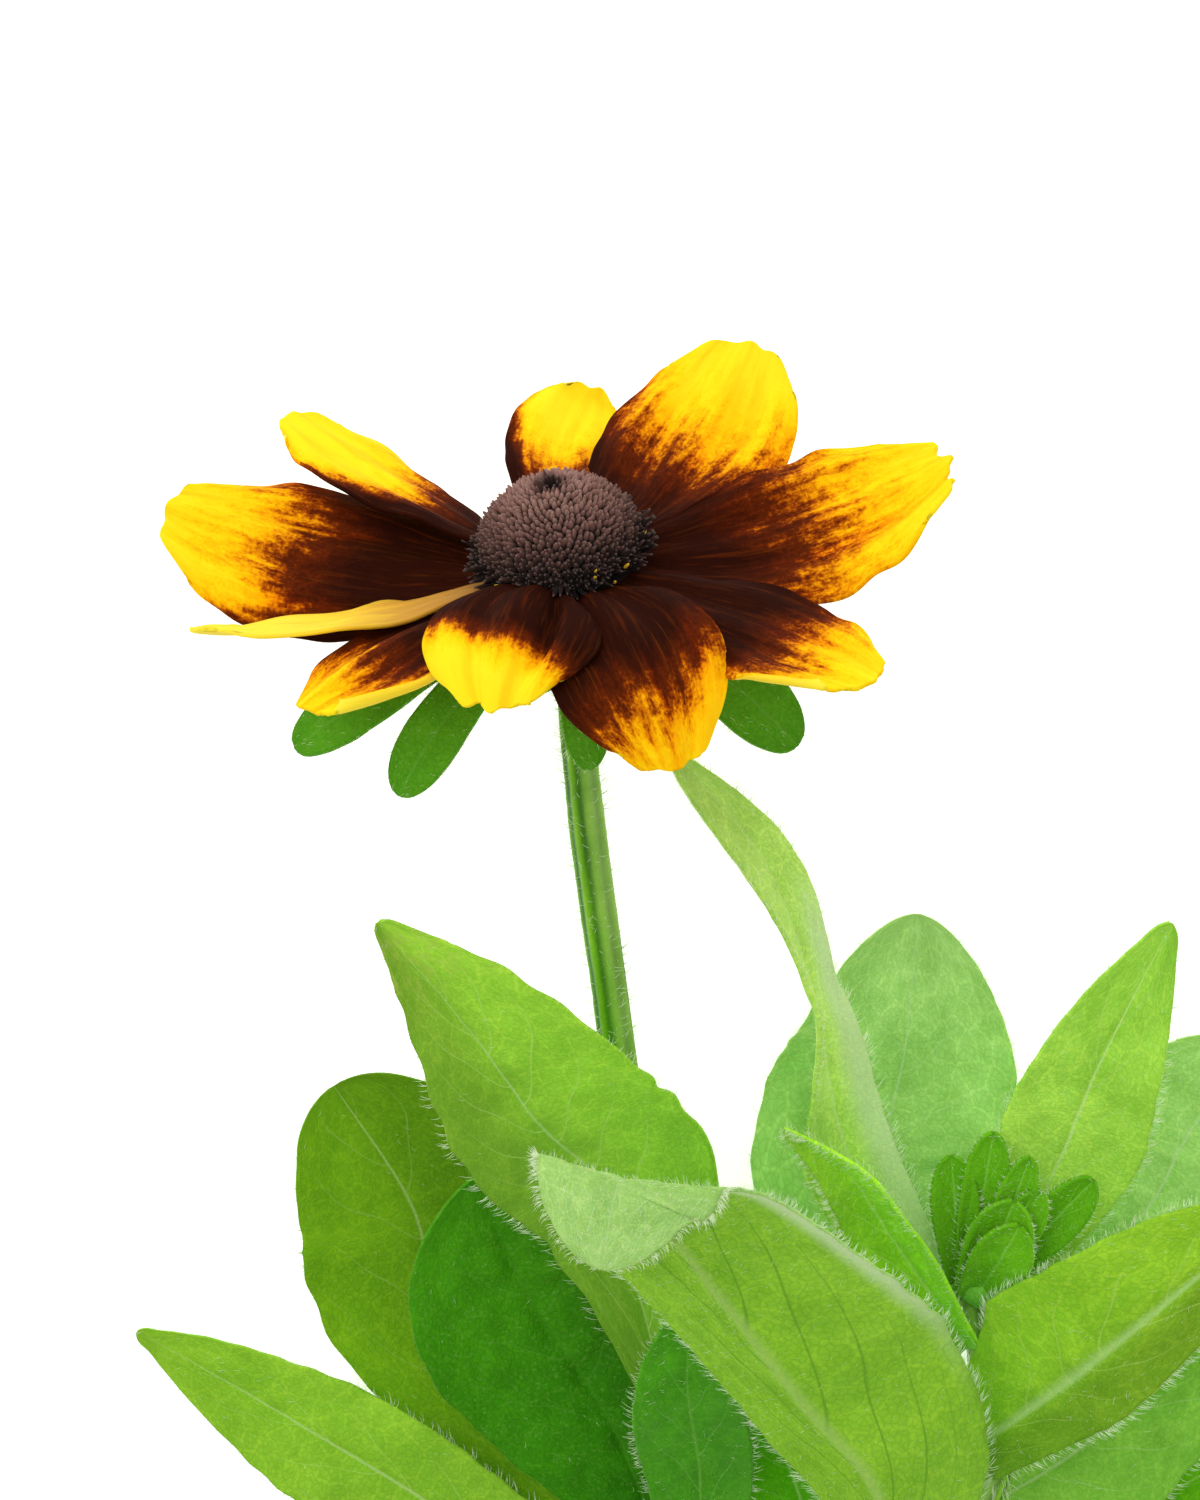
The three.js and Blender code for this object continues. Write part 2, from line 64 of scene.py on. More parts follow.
# %% Camera
CAMERA_PLACE = (3.52, 72.48, 547.24)
CAMERA_LEAN = math.radians(10)
SENSOR_WIDTH = 36
LENS_LENGTH = 131.04
lean_cos, lean_sin = math.cos(CAMERA_LEAN), math.sin(CAMERA_LEAN)
camera_data = bpy.data.cameras.new("main_camera")
camera_data.sensor_width = SENSOR_WIDTH
camera_data.lens = LENS_LENGTH
camera = bpy.data.objects.new("main_camera", camera_data)
bpy.context.scene.collection.objects.link(camera)
camera.matrix_world = Matrix.Translation(to_metres(CAMERA_PLACE)) @ Matrix(
    ((1, 0, 0, 0), (0, lean_cos, lean_sin, 0), (0, -lean_sin, lean_cos, 0), (0, 0, 0, 1))
)
bpy.context.scene.camera = camera
print("camera at", tuple(round(x, 3) for x in camera.location))

# %% [markdown]
# A plain white table fills the view and glows a little, as a light table does, so shadows on it stay faint.
# One wide, soft lamp stands above the bloom, and a bright, even sky fills the shadows. The plain view
# transform keeps the yellow pure.

# %% Table, lamp and sky
SUN_STRENGTH = 1.5
SUN_SOFTNESS = math.radians(70)
SUN_FROM = Vector((-0.3, 0.6, 0.9))
SKY_STRENGTH = 0.6
TABLE_GLOW = 0.7
TABLE_REACH = 4

sun_data = bpy.data.lights.new("soft_lamp", "SUN")
sun_data.energy = SUN_STRENGTH
sun_data.angle = SUN_SOFTNESS
sun = bpy.data.objects.new("soft_lamp", sun_data)
sun.rotation_mode = "QUATERNION"
sun.rotation_quaternion = (-SUN_FROM).to_track_quat("-Z", "Y")
bpy.context.scene.collection.objects.link(sun)

world = bpy.data.worlds.new("bright_sky")
bpy.context.scene.world = world
world.use_nodes = True
world.node_tree.nodes["Background"].inputs["Color"].default_value = (1, 1, 1, 1)
world.node_tree.nodes["Background"].inputs["Strength"].default_value = SKY_STRENGTH
bpy.context.scene.view_settings.view_transform = "Standard"

table_mesh = bmesh.new()
bmesh.ops.create_grid(table_mesh, x_segments=1, y_segments=1, size=TABLE_REACH)
table_data = bpy.data.meshes.new("table_top")
table_mesh.to_mesh(table_data)
table_mesh.free()
table_top = bpy.data.objects.new("table_top", table_data)
bpy.context.scene.collection.objects.link(table_top)
print("table, lamp and sky are set")

# %% [markdown]
# ## Helpers for materials
# A material is a small tree of nodes. These helpers keep each tree short: one adds a node and feeds its
# inputs, the others are the nodes that are used most. Colours are written as the eye names them, from 0 to
# 255, and turned into the linear light that the renderer works in.


# %% Node helpers
def paint(red, green, blue):
    """A colour from 0 to 255, in linear light."""
    shares = [c / 255 for c in (red, green, blue)]
    return tuple(c / 12.92 if c <= 0.04045 else ((c + 0.055) / 1.055) ** 2.4 for c in shares) + (1.0,)


def feed(tree, node, key, value):
    """Gives a node's input a link from another socket, or a plain value."""
    if isinstance(value, bpy.types.NodeSocket):
        tree.links.new(value, node.inputs[key])
    else:
        node.inputs[key].default_value = value


def add(tree, kind, feeds=None, **settings):
    node = tree.nodes.new(kind)
    for key, value in settings.items():
        setattr(node, key, value)
    for key, value in (feeds or {}).items():
        feed(tree, node, key, value)
    return node


def maths(tree, operation, *values, clamp=False):
    node = add(tree, "ShaderNodeMath", operation=operation, use_clamp=clamp)
    for index, value in enumerate(values):
        feed(tree, node, index, value)
    return node.outputs[0]


def times(tree, *values):
    return maths(tree, "MULTIPLY", *values)


def moved_by(tree, start, pattern, amount):
    """A value, moved up and down by a pattern that runs from 0 to 1."""
    return maths(tree, "MULTIPLY_ADD", maths(tree, "SUBTRACT", pattern, 0.5), amount, start)


def mixed(tree, share, first, second, blend="MIX"):
    node = add(tree, "ShaderNodeMix", {0: share, 6: first, 7: second}, data_type="RGBA", blend_type=blend)
    return node.outputs[2]


def between(tree, value, low, high, smooth=True):
    """0 where the value is low, 1 where it is high."""
    node = add(tree, "ShaderNodeMapRange", {0: value, 1: low, 2: high})
    node.interpolation_type = "SMOOTHSTEP" if smooth else "LINEAR"
    return node.outputs[0]


def noise(tree, vector, scale, detail=2.0, roughness=0.5):
    feeds = {"Vector": vector, "Scale": scale, "Detail": detail, "Roughness": roughness}
    return add(tree, "ShaderNodeTexNoise", feeds).outputs[0]


def stretched(tree, vector, scales):
    """A vector with each of its parts scaled on its own."""
    return add(tree, "ShaderNodeVectorMath", {0: vector, 1: scales}, operation="MULTIPLY").outputs[0]


def ramp(tree, value, stops):
    """A colour read off a row of (place, colour) stops."""
    node = add(tree, "ShaderNodeValToRGB", {0: value})
    elements = node.color_ramp.elements
    while len(elements) < len(stops):
        elements.new(1.0)
    for element, (place, colour) in zip(elements, stops):
        element.position = place
        element.color = colour
    return node.outputs[0]


def attribute(tree, name, output="Vector"):
    return add(tree, "ShaderNodeAttribute", attribute_name=name).outputs[output]


def parts(tree, vector):
    node = add(tree, "ShaderNodeSeparateXYZ", {0: vector})
    return node.outputs[0], node.outputs[1], node.outputs[2]


def bump(tree, height, strength, distance, normal=None):
    feeds = {"Height": height, "Strength": strength, "Distance": distance}
    if normal is not None:
        feeds["Normal"] = normal
    return add(tree, "ShaderNodeBump", feeds).outputs[0]


def new_material(name, **sockets):
    """A material with a bare Principled shader, and the plain values of its sockets."""
    made = bpy.data.materials.new(name)
    made.use_nodes = True
    shader = made.node_tree.nodes["Principled BSDF"]
    for key, value in sockets.items():
        shader.inputs[key.replace("_", " ")].default_value = value
    return made, made.node_tree, shader


table_paint, _, _ = new_material(
    "table_white", Base_Color=(0.93, 0.93, 0.93, 1), Roughness=0.9, Emission_Color=(1, 1, 1, 1),
    Emission_Strength=TABLE_GLOW,
)
table_data.materials.append(table_paint)
print("node helpers ready")

# %% [markdown]
# ## Shared effects
# Leaves, bracts and stems share one fine grain: cells of a plant's skin, with lighter and darker patches, a
# finer mottling, pale specks, and a net of the smallest veins, which is a warped cell pattern. It is a node
# group, so each material places it with its own strengths. A second group draws the midrib and the side
# veins of a leaf from where a point lies across and along it.


# %% Node group: the grain of green skin
def new_group(name, inputs, outputs):
    """A node group with named float, vector or colour sockets, and its input and output nodes."""
    group = bpy.data.node_groups.new(name, "ShaderNodeTree")
    kinds = {"float": "NodeSocketFloat", "vector": "NodeSocketVector", "colour": "NodeSocketColor"}
    for label, kind, value in inputs:
        made = group.interface.new_socket(label, in_out="INPUT", socket_type=kinds[kind])
        if value is not None:
            made.default_value = value
    for label, kind in outputs:
        group.interface.new_socket(label, in_out="OUTPUT", socket_type=kinds[kind])
    return group, group.nodes.new("NodeGroupInput").outputs, group.nodes.new("NodeGroupOutput")


skin_inputs = [
    ("Colour", "colour", (0.2, 0.4, 0.05, 1)),
    ("Place", "vector", None),
    ("Patches", "float", 0.4),
    ("Cells", "float", 0.3),
    ("Net", "float", 0.0),
]
green_skin, given, result = new_group("green_skin", skin_inputs, [("Colour", "colour"), ("Height", "float")])
patch_noise = noise(green_skin, given["Place"], 0.16, 3.0, 0.55)
patch = between(green_skin, patch_noise, 0.3, 0.72)
darker = mixed(green_skin, given["Patches"], given["Colour"], (0.42, 0.58, 0.3, 1), blend="MULTIPLY")
patched = mixed(green_skin, patch, darker, given["Colour"])
mottle = between(green_skin, noise(green_skin, given["Place"], 0.55, 4.0, 0.65), 0.35, 0.68)
mottle_share = times(green_skin, mottle, given["Patches"])
mottled = mixed(green_skin, mottle_share, patched, (0.72, 0.8, 0.55, 1), blend="MULTIPLY")
warp_settings = {"Vector": given["Place"], "Scale": 0.5, "Detail": 2.0}
warp = add(green_skin, "ShaderNodeTexNoise", warp_settings).outputs["Color"]
warp_feeds = {0: warp, 1: (1.6, 1.6, 0.0), 2: given["Place"]}
warped = add(green_skin, "ShaderNodeVectorMath", warp_feeds, operation="MULTIPLY_ADD").outputs[0]
mesh_feeds = {"Vector": warped, "Scale": 0.42, "Randomness": 0.9}
mesh_cells = add(green_skin, "ShaderNodeTexVoronoi", mesh_feeds, feature="DISTANCE_TO_EDGE")
mesh_edge = mesh_cells.outputs["Distance"]
small_vein = times(green_skin, between(green_skin, mesh_edge, 0.09, 0.0), given["Net"])
veined = mixed(green_skin, small_vein, mottled, (1.7, 1.35, 1.6, 1), blend="MULTIPLY")
cell_feeds = {"Vector": given["Place"], "Scale": 1.5, "Randomness": 1.0}
cell = add(green_skin, "ShaderNodeTexVoronoi", cell_feeds, feature="DISTANCE_TO_EDGE").outputs["Distance"]
cell_edge = between(green_skin, cell, 0.16, 0.0)
net_share = times(green_skin, cell_edge, given["Cells"])
netted = mixed(green_skin, net_share, veined, (0.55, 0.7, 0.4, 1), blend="MULTIPLY")
speck = between(green_skin, noise(green_skin, given["Place"], 3.2, 2.0, 0.6), 0.52, 0.75)
light_speck = times(green_skin, speck, 0.12)
specked = mixed(green_skin, light_speck, netted, paint(186, 222, 120))
fine = noise(green_skin, given["Place"], 5.0, 3.0, 0.6)
cell_height = maths(green_skin, "SUBTRACT", fine, times(green_skin, cell_edge, 0.5))
skin_height = maths(green_skin, "SUBTRACT", cell_height, times(green_skin, small_vein, 0.8))
feed(green_skin, result, "Colour", specked)
feed(green_skin, result, "Height", skin_height)
print("group made:", green_skin.name)

# %% Node group: the veins of a leaf
# Side veins leave the midrib and lean towards the tip. A point's place along the leaf, less a part of its
# place across, is the same all along one vein, so evenly spaced veins are stripes of that number.
VEIN_BEND = 1.25
vein_inputs = [
    ("Share", "vector", None),
    ("Place", "vector", None),
    ("Length", "float", 60.0),
    ("Count", "float", 6.0),
    ("Slant", "float", 0.3),
    ("Width", "float", 0.22),
    ("Rib", "float", 1.0),
]
vein_outputs = [("Midrib", "float"), ("Veins", "float")]
leaf_veins, given, result = new_group("leaf_veins", vein_inputs, vein_outputs)
share_across, share_along, _ = parts(leaf_veins, given["Share"])
place_across, _, _ = parts(leaf_veins, given["Place"])
off_midrib = maths(leaf_veins, "ABSOLUTE", share_across)
lean = times(leaf_veins, maths(leaf_veins, "POWER", off_midrib, VEIN_BEND), given["Slant"])
sway_phase = maths(leaf_veins, "ADD", times(leaf_veins, off_midrib, 13.0), share_along)
sway = times(leaf_veins, maths(leaf_veins, "SINE", sway_phase), 0.008)
level = maths(leaf_veins, "ADD", maths(leaf_veins, "SUBTRACT", share_along, lean), sway)
right_half = times(leaf_veins, maths(leaf_veins, "GREATER_THAN", share_across, 0.0), 0.37)
phase = maths(leaf_veins, "ADD", times(leaf_veins, level, given["Count"]), right_half)
step_length = maths(leaf_veins, "DIVIDE", given["Length"], given["Count"])
distance = times(leaf_veins, maths(leaf_veins, "PINGPONG", phase, 0.5), step_length)
side_vein = between(leaf_veins, distance, given["Width"], 0.0)
fade = between(leaf_veins, off_midrib, 1.0, 0.45)
rib_width = times(leaf_veins, given["Width"], given["Rib"])
midrib_width = times(leaf_veins, rib_width, maths(leaf_veins, "SUBTRACT", 2.0, share_along))
midrib_distance = maths(leaf_veins, "ABSOLUTE", place_across)
feed(leaf_veins, result, "Midrib", between(leaf_veins, midrib_distance, midrib_width, 0.0))
feed(leaf_veins, result, "Veins", times(leaf_veins, side_vein, fade))
print("group made:", leaf_veins.name)

# %% [markdown]
# ## Helpers for shapes
# A petal or a leaf is a thin blade on a curved middle surface. Each one starts as a flat grid, whose two
# sides stand for the places across and along the blade. Every point is then moved to the surface, and a
# Solidify modifier gives the blade its thickness, with a second material on its underside. Two attributes
# stay with the points: their place in millimetres and their share of the width and the length. Patterns
# read those.


# %% Shape helpers
def smooth_step(low, high, value):
    share = np.clip((value - low) / (high - low), 0, 1)
    return share * share * (3 - 2 * share)


def wander(seed, x, y, size, waves=5):
    """A smooth, repeatable unevenness between about -1 and 1, with bumps of that size."""
    draw = np.random.default_rng(seed)
    total = np.zeros_like(x)
    for _ in range(waves):
        angle, start = draw.uniform(0, 2 * np.pi, 2)
        pace = 2 * np.pi / size * draw.uniform(0.6, 1.5)
        total += np.sin(pace * (x * np.cos(angle) + y * np.sin(angle)) + start)
    return total / math.sqrt(waves)


def unit(vectors):
    return vectors / np.maximum(np.linalg.norm(vectors, axis=-1, keepdims=True), 1e-12)


def facing(surface, across, along, step=2e-3):
    """The directions across, along and out of the upper face of a surface."""
    right = surface(np.minimum(across + step, 1), along) - surface(np.maximum(across - step, -1), along)
    ahead = surface(across, np.minimum(along + step, 1)) - surface(across, np.maximum(along - step, 0))
    return unit(right), unit(ahead), unit(np.cross(right, ahead))


def finish_mesh(piece, materials, node_names):
    """Applies a piece's modifiers, smooths it, gives it its materials and ties it to the solids."""
    for material in materials:
        piece.data.materials.append(material)
    bpy.context.scene.collection.objects.link(piece)
    bpy.context.view_layer.update()
    ready = piece.evaluated_get(bpy.context.evaluated_depsgraph_get())
    applied = bpy.data.meshes.new_from_object(ready)
    piece.modifiers.clear()
    piece.data = applied
    applied.name = piece.name
    applied.shade_smooth()
    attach(piece, BODY)
    if node_names:
        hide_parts(*node_names)
    return piece


def store(mesh, name, values, kind="FLOAT_VECTOR"):
    layer = mesh.attributes.new(name, kind, "POINT")
    field = "vector" if kind == "FLOAT_VECTOR" else "value"
    layer.data.foreach_set(field, np.asarray(values, np.float32).ravel())


def grow_blade(name, surface, size, cells, thickness, seed, extra=None):
    """A thin blade round a surface of (across, along). size is its full width and length in millimetres."""
    grid = bmesh.new()
    bmesh.ops.create_grid(grid, x_segments=cells[0], y_segments=cells[1], size=1.0)
    mesh = bpy.data.meshes.new(name)
    grid.to_mesh(mesh)
    grid.free()
    flat = np.zeros(len(mesh.vertices) * 3)
    mesh.vertices.foreach_get("co", flat)
    across = flat[0::3]
    along = 1 - (1 - (flat[1::3] + 1) / 2) ** 1.3
    points = surface(across, along)
    mesh.vertices.foreach_set("co", to_metres(points).ravel())
    seeds = np.full_like(across, seed * 7.0)
    store(mesh, "place", np.stack([across * size[0] / 2, along * size[1], seeds], 1))
    border = np.zeros_like(across) if extra is None else extra(across, along)
    store(mesh, "share", np.stack([across, along, border], 1))
    mesh.update()
    piece = bpy.data.objects.new(name, mesh)
    wall = piece.modifiers.new("thickness", "SOLIDIFY")
    wall.thickness = thickness * MM
    wall.offset = 0
    wall.material_offset = 1
    return piece


# %% [markdown]
# ## The bloom's own frame
# The head looks up from the table by about twenty degrees and leans a little to the left. Petals, bracts
# and florets are worked out round an upright axis, and this matrix puts them in place.

# %% The head's place and turn
HEAD_CENTRE = np.array([0.0, 0.0, 32.0])
HEAD_RISE = 19.6
HEAD_HEADING = 9.2
TABLE_EASE = 1.2
BLADE = 0.7
tilt = Matrix.Rotation(-math.radians(90 - HEAD_RISE), 3, "X")
head_turn = np.array(Matrix.Rotation(math.radians(HEAD_HEADING), 3, "Z") @ tilt)


def from_head(points):
    return points @ head_turn.T + HEAD_CENTRE


def over_table(points):
    """Bends what would go through the table onto it, as the solids do."""
    height = points[:, 2] - BLADE / 2
    eased = (height + TABLE_EASE) ** 2 / (4 * TABLE_EASE)
    lifted = np.where(height < -TABLE_EASE, 0, np.where(height < TABLE_EASE, eased, height))
    points[:, 2] = lifted + BLADE / 2
    return points


# %% [markdown]
# ## Petals
# Ten ray petals stand in two layers. Each is an arc from its root, rolled about its length, with long
# shallow pleats, fine veins and a notched tip. "turn" is its place round the head, "rise" the slope and
# "twist" the roll at its root and at its tip, in degrees, and "cup" bends it from side to side. "upper"
# says which layer it is in, "end" how broad its tip stays, and "notch" how deep the tip is notched.
# "border" says how far along the petal the brown base reaches, at nine places from one margin to the other,
# because the brown runs up the margins and in streaks, and "crisp" makes that border sharper or softer. A
# petal that shows its underside is "turned". Some petals have a change at one margin, whose first number is
# the side: "roll" curls it up from a share of the width, by so many degrees, beginning at a share of the
# length; "tuck" lowers it by so many millimetres from a share of the width, until a share of the length, to
# pass under its neighbour; and "slim" takes a share of the width away until a share of the length. "furrow"
# is a groove, with its place and depth.

# %% Table of petals
PETALS = [
    dict(turn=4, length=32.3, rise=(-14, 24), twist=(-28, -15), width=18.5, cup=5, upper=True,
         border=(0.60, 0.60, 0.60, 0.62, 0.63, 0.68, 0.64, 0.53, 0.60),
         notch=0.016, end=0.5, crisp=0.6),
    dict(turn=56, length=32.3, rise=(-6, 26), twist=(0, -14), width=19.3, cup=-4, upper=False,
         border=(0.80, 0.66, 0.58, 0.57, 0.57, 0.54, 0.52, 0.58, 0.64),
         notch=0.006, end=0.55, crisp=0.75),
    dict(turn=81, length=32, rise=(5, 0), twist=(9, -15), width=17, cup=22, upper=False,
         border=(0.78, 0.50, 0.42, 0.45, 0.50, 0.50, 0.50, 0.48, 0.46),
         notch=0.009, end=0.45, tuck=(1, 4.4, -0.3, 1.0)),
    dict(turn=133, length=31.2, rise=(10, 18), twist=(-33, -18), width=13, cup=-12, upper=True,
         border=(0.82, 0.55, 0.42, 0.42, 0.45, 0.50, 0.55, 0.56, 0.58),
         notch=0.002, end=0.6),
    dict(turn=158, length=34.9, rise=(-1, 21), twist=(15, 16), width=18.2, cup=-16, upper=False,
         border=(0.79, 0.62, 0.71, 0.73, 0.69, 0.67, 0.65, 0.76, 0.83),
         notch=0.009, end=0.5, crisp=0.75, tuck=(-1, 1.4, 0.3, 1.0)),
    dict(turn=181, length=30, rise=(-8, 8), twist=(-16, -26), width=13.9, cup=-8, upper=True,
         border=(0.60, 0.55, 0.50, 0.50, 0.50, 0.50, 0.50, 0.55, 0.60),
         notch=0.004, end=0.4, turned=True, slim=(1, 0.68, 0.84)),
    dict(turn=211, length=24.5, rise=(12, -16), twist=(4, 0), width=17.5, cup=-18, upper=False,
         border=(0.60, 0.68, 0.80, 0.79, 0.73, 0.73, 0.78, 0.82, 0.80),
         notch=0.006, end=0.5, roll=(-1, 0.76, 120, 0.2), tuck=(1, 1.6, -0.2, 1.0)),
    dict(turn=252, length=21.5, rise=(43, -44), twist=(14, 0), width=17.4, cup=-22, upper=True,
         border=(0.93, 0.84, 0.75, 0.72, 0.71, 0.68, 0.64, 0.58, 0.62),
         notch=0.014, end=0.5, crisp=2.6, furrow=(-0.4, 1.5)),
    dict(turn=286, length=26.8, rise=(34, -66), twist=(3, 0), width=17, cup=-6, upper=False,
         border=(0.65, 0.67, 0.77, 0.83, 0.84, 0.81, 0.84, 0.90, 0.97),
         notch=0.006, end=0.5, tuck=(1, 1.9, 0.0, 0.5)),
    dict(turn=315, length=31.6, rise=(-2, -7), twist=(-3, 2), width=14.9, cup=3, upper=True,
         border=(0.74, 0.80, 0.75, 0.74, 0.75, 0.79, 0.80, 0.76, 0.62),
         notch=0.006, end=0.55, roll=(1, 0.78, 120, 0.62), tuck=(1, 1.6, 0.3, 0.6), slim=(1, 0.32, 0.6)),
]
PETAL_ROOT_RADIUS = 5
LAYERS = {True: -0.9, False: -1.6}
PETAL_CELLS = (44, 66)
PETAL_THICKNESS = 0.4
CHANGE_FADE = 0.16  # the share of a petal's length in which a change at one margin dies out


# %% The shape of a petal
def petal_outline(along, end):
    broadest = 0.62
    rising = 0.26 + 0.74 * np.sin(np.pi / 2 * np.clip(along / broadest, 0, 1)) ** 1.2
    falling = np.cos(np.pi / 2 * np.clip((along - broadest) / (1 - broadest), 0, 1)) ** 0.75
    return np.where(along < broadest, rising, end + (1 - end) * falling)


def curled(across, half, bend, roll, along):
    """How far a point of the section lies beside and above its middle, with any rolled margin."""
    beside = half * np.sin(bend * across) / bend
    above = half * (1 - np.cos(bend * across)) / bend
    if roll:
        side, start, degrees, begin = roll
        beyond = np.clip(across * side - start, 0, None)
        edge = side * start
        turn = np.radians(degrees) * beyond / (1 - start) * smooth_step(begin, begin + 0.2, along) + 1e-4
        reach = beyond * half
        rolled_beside = half * np.sin(bend * edge) / bend + side * reach * np.sin(turn) / turn
        rolled_above = half * (1 - np.cos(bend * edge)) / bend + reach * (1 - np.cos(turn)) / turn
        beside = np.where(beyond > 0, rolled_beside, beside)
        above = np.where(beyond > 0, rolled_above, above)
    return beside, above


def petal_surface(petal, seed):
    angle = math.radians(petal["turn"])
    out = np.array([math.cos(angle), math.sin(angle), 0])
    level = np.array([math.sin(angle), -math.cos(angle), 0])
    first, last = (math.radians(x) for x in petal["rise"])
    turn_rate = (last - first) or 1e-4
    bend = math.radians(petal["cup"]) or 1e-3
    length, width = petal["length"], petal["width"]

    def surface(across, along):
        slope = first + turn_rate * along
        reach = PETAL_ROOT_RADIUS + length * (np.sin(slope) - math.sin(first)) / turn_rate
        height = LAYERS[petal["upper"]] + length * (math.cos(first) - np.cos(slope)) / turn_rate
        ahead = out * np.cos(slope)[:, None]
        ahead[:, 2] = np.sin(slope)
        up = -out * np.sin(slope)[:, None]
        up[:, 2] = np.cos(slope)
        roll = np.radians(petal["twist"][0] + (petal["twist"][1] - petal["twist"][0]) * along)[:, None]
        side = level * np.cos(roll) + up * np.sin(roll)
        face = up * np.cos(roll) - level * np.sin(roll)
        half = width / 2 * petal_outline(along, petal["end"])
        if "slim" in petal:
            side_sign, share, until = petal["slim"]
            at_margin = smooth_step(0.0, 0.3, across * side_sign)
            half = half * (1 - share * at_margin * smooth_step(until + CHANGE_FADE, until, along))
        across_mm, along_mm = across * half, along * length
        growth = smooth_step(0.0, 0.35, along)
        pleats = 0.035 * half * np.cos(3 * np.pi * across)
        veins = 0.03 * np.cos(2 * np.pi * across * 9 + wander(seed, across_mm, along_mm, 12)) * growth
        dents = 0.16 * wander(seed + 50, across_mm, along_mm * 0.6, 7) * growth
        ruffle = 0.32 * across ** 4 * wander(seed + 90, across * 2, along_mm, 9) * growth
        beside, above = curled(across, half, bend, petal.get("roll"), along)
        lift = above + pleats + veins + dents + ruffle
        if "tuck" in petal:
            side_sign, depth, start, until = petal["tuck"]
            at_margin = smooth_step(start, 1.0, across * side_sign)
            before_end = smooth_step(until + CHANGE_FADE, until, along)
            lift -= depth * at_margin * before_end * smooth_step(0, 0.15, along)
        if "furrow" in petal:
            where, depth = petal["furrow"]
            middle = smooth_step(0.1, 0.4, along) * smooth_step(0.97, 0.7, along)
            lift -= depth * np.exp(-(((across - where) / 0.11) ** 2)) * middle
            lift += 0.35 * depth * np.exp(-(((across - where + 0.33) / 0.2) ** 2)) * middle
        scallops = np.cos(2 * np.pi * across / 0.7) + 0.5 * wander(seed + 20, across * 6, along * 0, 2.2)
        lobe = 0.1 * (1 - np.abs(across) ** 3) - 0.06 + petal["notch"] * scallops
        points = out * reach[:, None]
        points[:, 2] = height
        points += ahead * (length * lobe * along ** 8)[:, None]
        margin = 1 + 0.014 * wander(seed + 30, along_mm, across, 6) * np.abs(across)
        points += side * (margin * beside)[:, None] + face * lift[:, None]
        return over_table(from_head(points))

    return surface


def brown_border(petal):
    """How far inside the brown base a point of a petal is, in millimetres along it."""
    marks = np.linspace(-1, 1, len(petal["border"]))

    def depth(across, along):
        to_border = np.interp(across, marks, petal["border"]) - along
        within = to_border * petal["length"] * petal.get("crisp", 1)
        return within + np.clip(within - 4, 0, None)

    return depth


# %% [markdown]
# The colour of a petal is paint on velvet: a mahogany base that breaks up into rust streaks and specks,
# then golden and clear yellow. The border comes from the mesh. Noise that is stretched along the petal
# moves it to and fro, and a row of colours is read off the result. Fine lines along the petal stand for its
# veins, and darker golden streaks in the yellow are painted shade along its folds.


# %% Material: upper side of the petals
petal_face, tree, shader = new_material(
    "petal_face", Roughness=0.8, Specular_IOR_Level=0.03, Subsurface_Weight=0.08, Subsurface_Scale=0.0008
)
place = attribute(tree, "place")
_, _, inside = parts(tree, attribute(tree, "share"))
place_across, _, _ = parts(tree, place)
streaks = noise(tree, stretched(tree, place, (0.75, 0.13, 1)), 1.0, 3.0, 0.6)
blotches = noise(tree, stretched(tree, place, (0.85, 0.6, 1)), 1.0, 4.0, 0.65)
specks = noise(tree, stretched(tree, place, (3.4, 2.4, 1)), 1.0, 2.0, 0.6)
moved = moved_by(tree, inside, streaks, 11.0)
blotched = moved_by(tree, moved, blotches, 8.0)
speckled = moved_by(tree, blotched, specks, 5.0)
petal_ramp = [
    (0.00, paint(255, 224, 30)),
    (0.22, paint(255, 211, 14)),
    (0.36, paint(249, 182, 4)),
    (0.45, paint(222, 136, 4)),
    (0.53, paint(156, 70, 3)),
    (0.61, paint(94, 33, 4)),
    (0.78, paint(62, 19, 3)),
    (1.00, paint(41, 12, 4)),
]
painted = ramp(tree, between(tree, speckled, -9.0, 9.0, smooth=False), petal_ramp)
rust_noise = noise(tree, stretched(tree, place, (1.6, 0.14, 1)), 1.0, 4.0, 0.65)
rust_zone = times(tree, between(tree, rust_noise, 0.5, 0.72), between(tree, inside, 0.0, 6.0))
rusted = mixed(tree, times(tree, rust_zone, 0.16), painted, paint(150, 66, 6))
# Painted shade: darker golden streaks along the petal stand for the shade in its folds.
fold_shade_streaks = between(tree, noise(tree, stretched(tree, place, (0.42, 0.06, 1)), 1.0, 2.0, 0.5), 0.45, 0.72)
fold_shade_share = times(tree, fold_shade_streaks, 0.42)
fold_shaded = mixed(tree, fold_shade_share, rusted, paint(255, 200, 30), blend="MULTIPLY")
vein_line = between(tree, maths(tree, "PINGPONG", place_across, 0.6), 0.1, 0.0)
vein_noise = noise(tree, stretched(tree, place, (0.9, 0.1, 1)), 1.0, 2.0, 0.6)
vein_share = times(tree, times(tree, vein_line, between(tree, vein_noise, 0.5, 0.7)), 0.1)
lined = mixed(tree, vein_share, fold_shaded, paint(196, 112, 10))
feed(tree, shader, "Base Color", lined)
petal_grain = noise(tree, stretched(tree, place, (5.0, 1.1, 1)), 1.0, 3.0, 0.6)
feed(tree, shader, "Normal", bump(tree, petal_grain, 0.35, 0.00012))
print("material made:", petal_face.name)

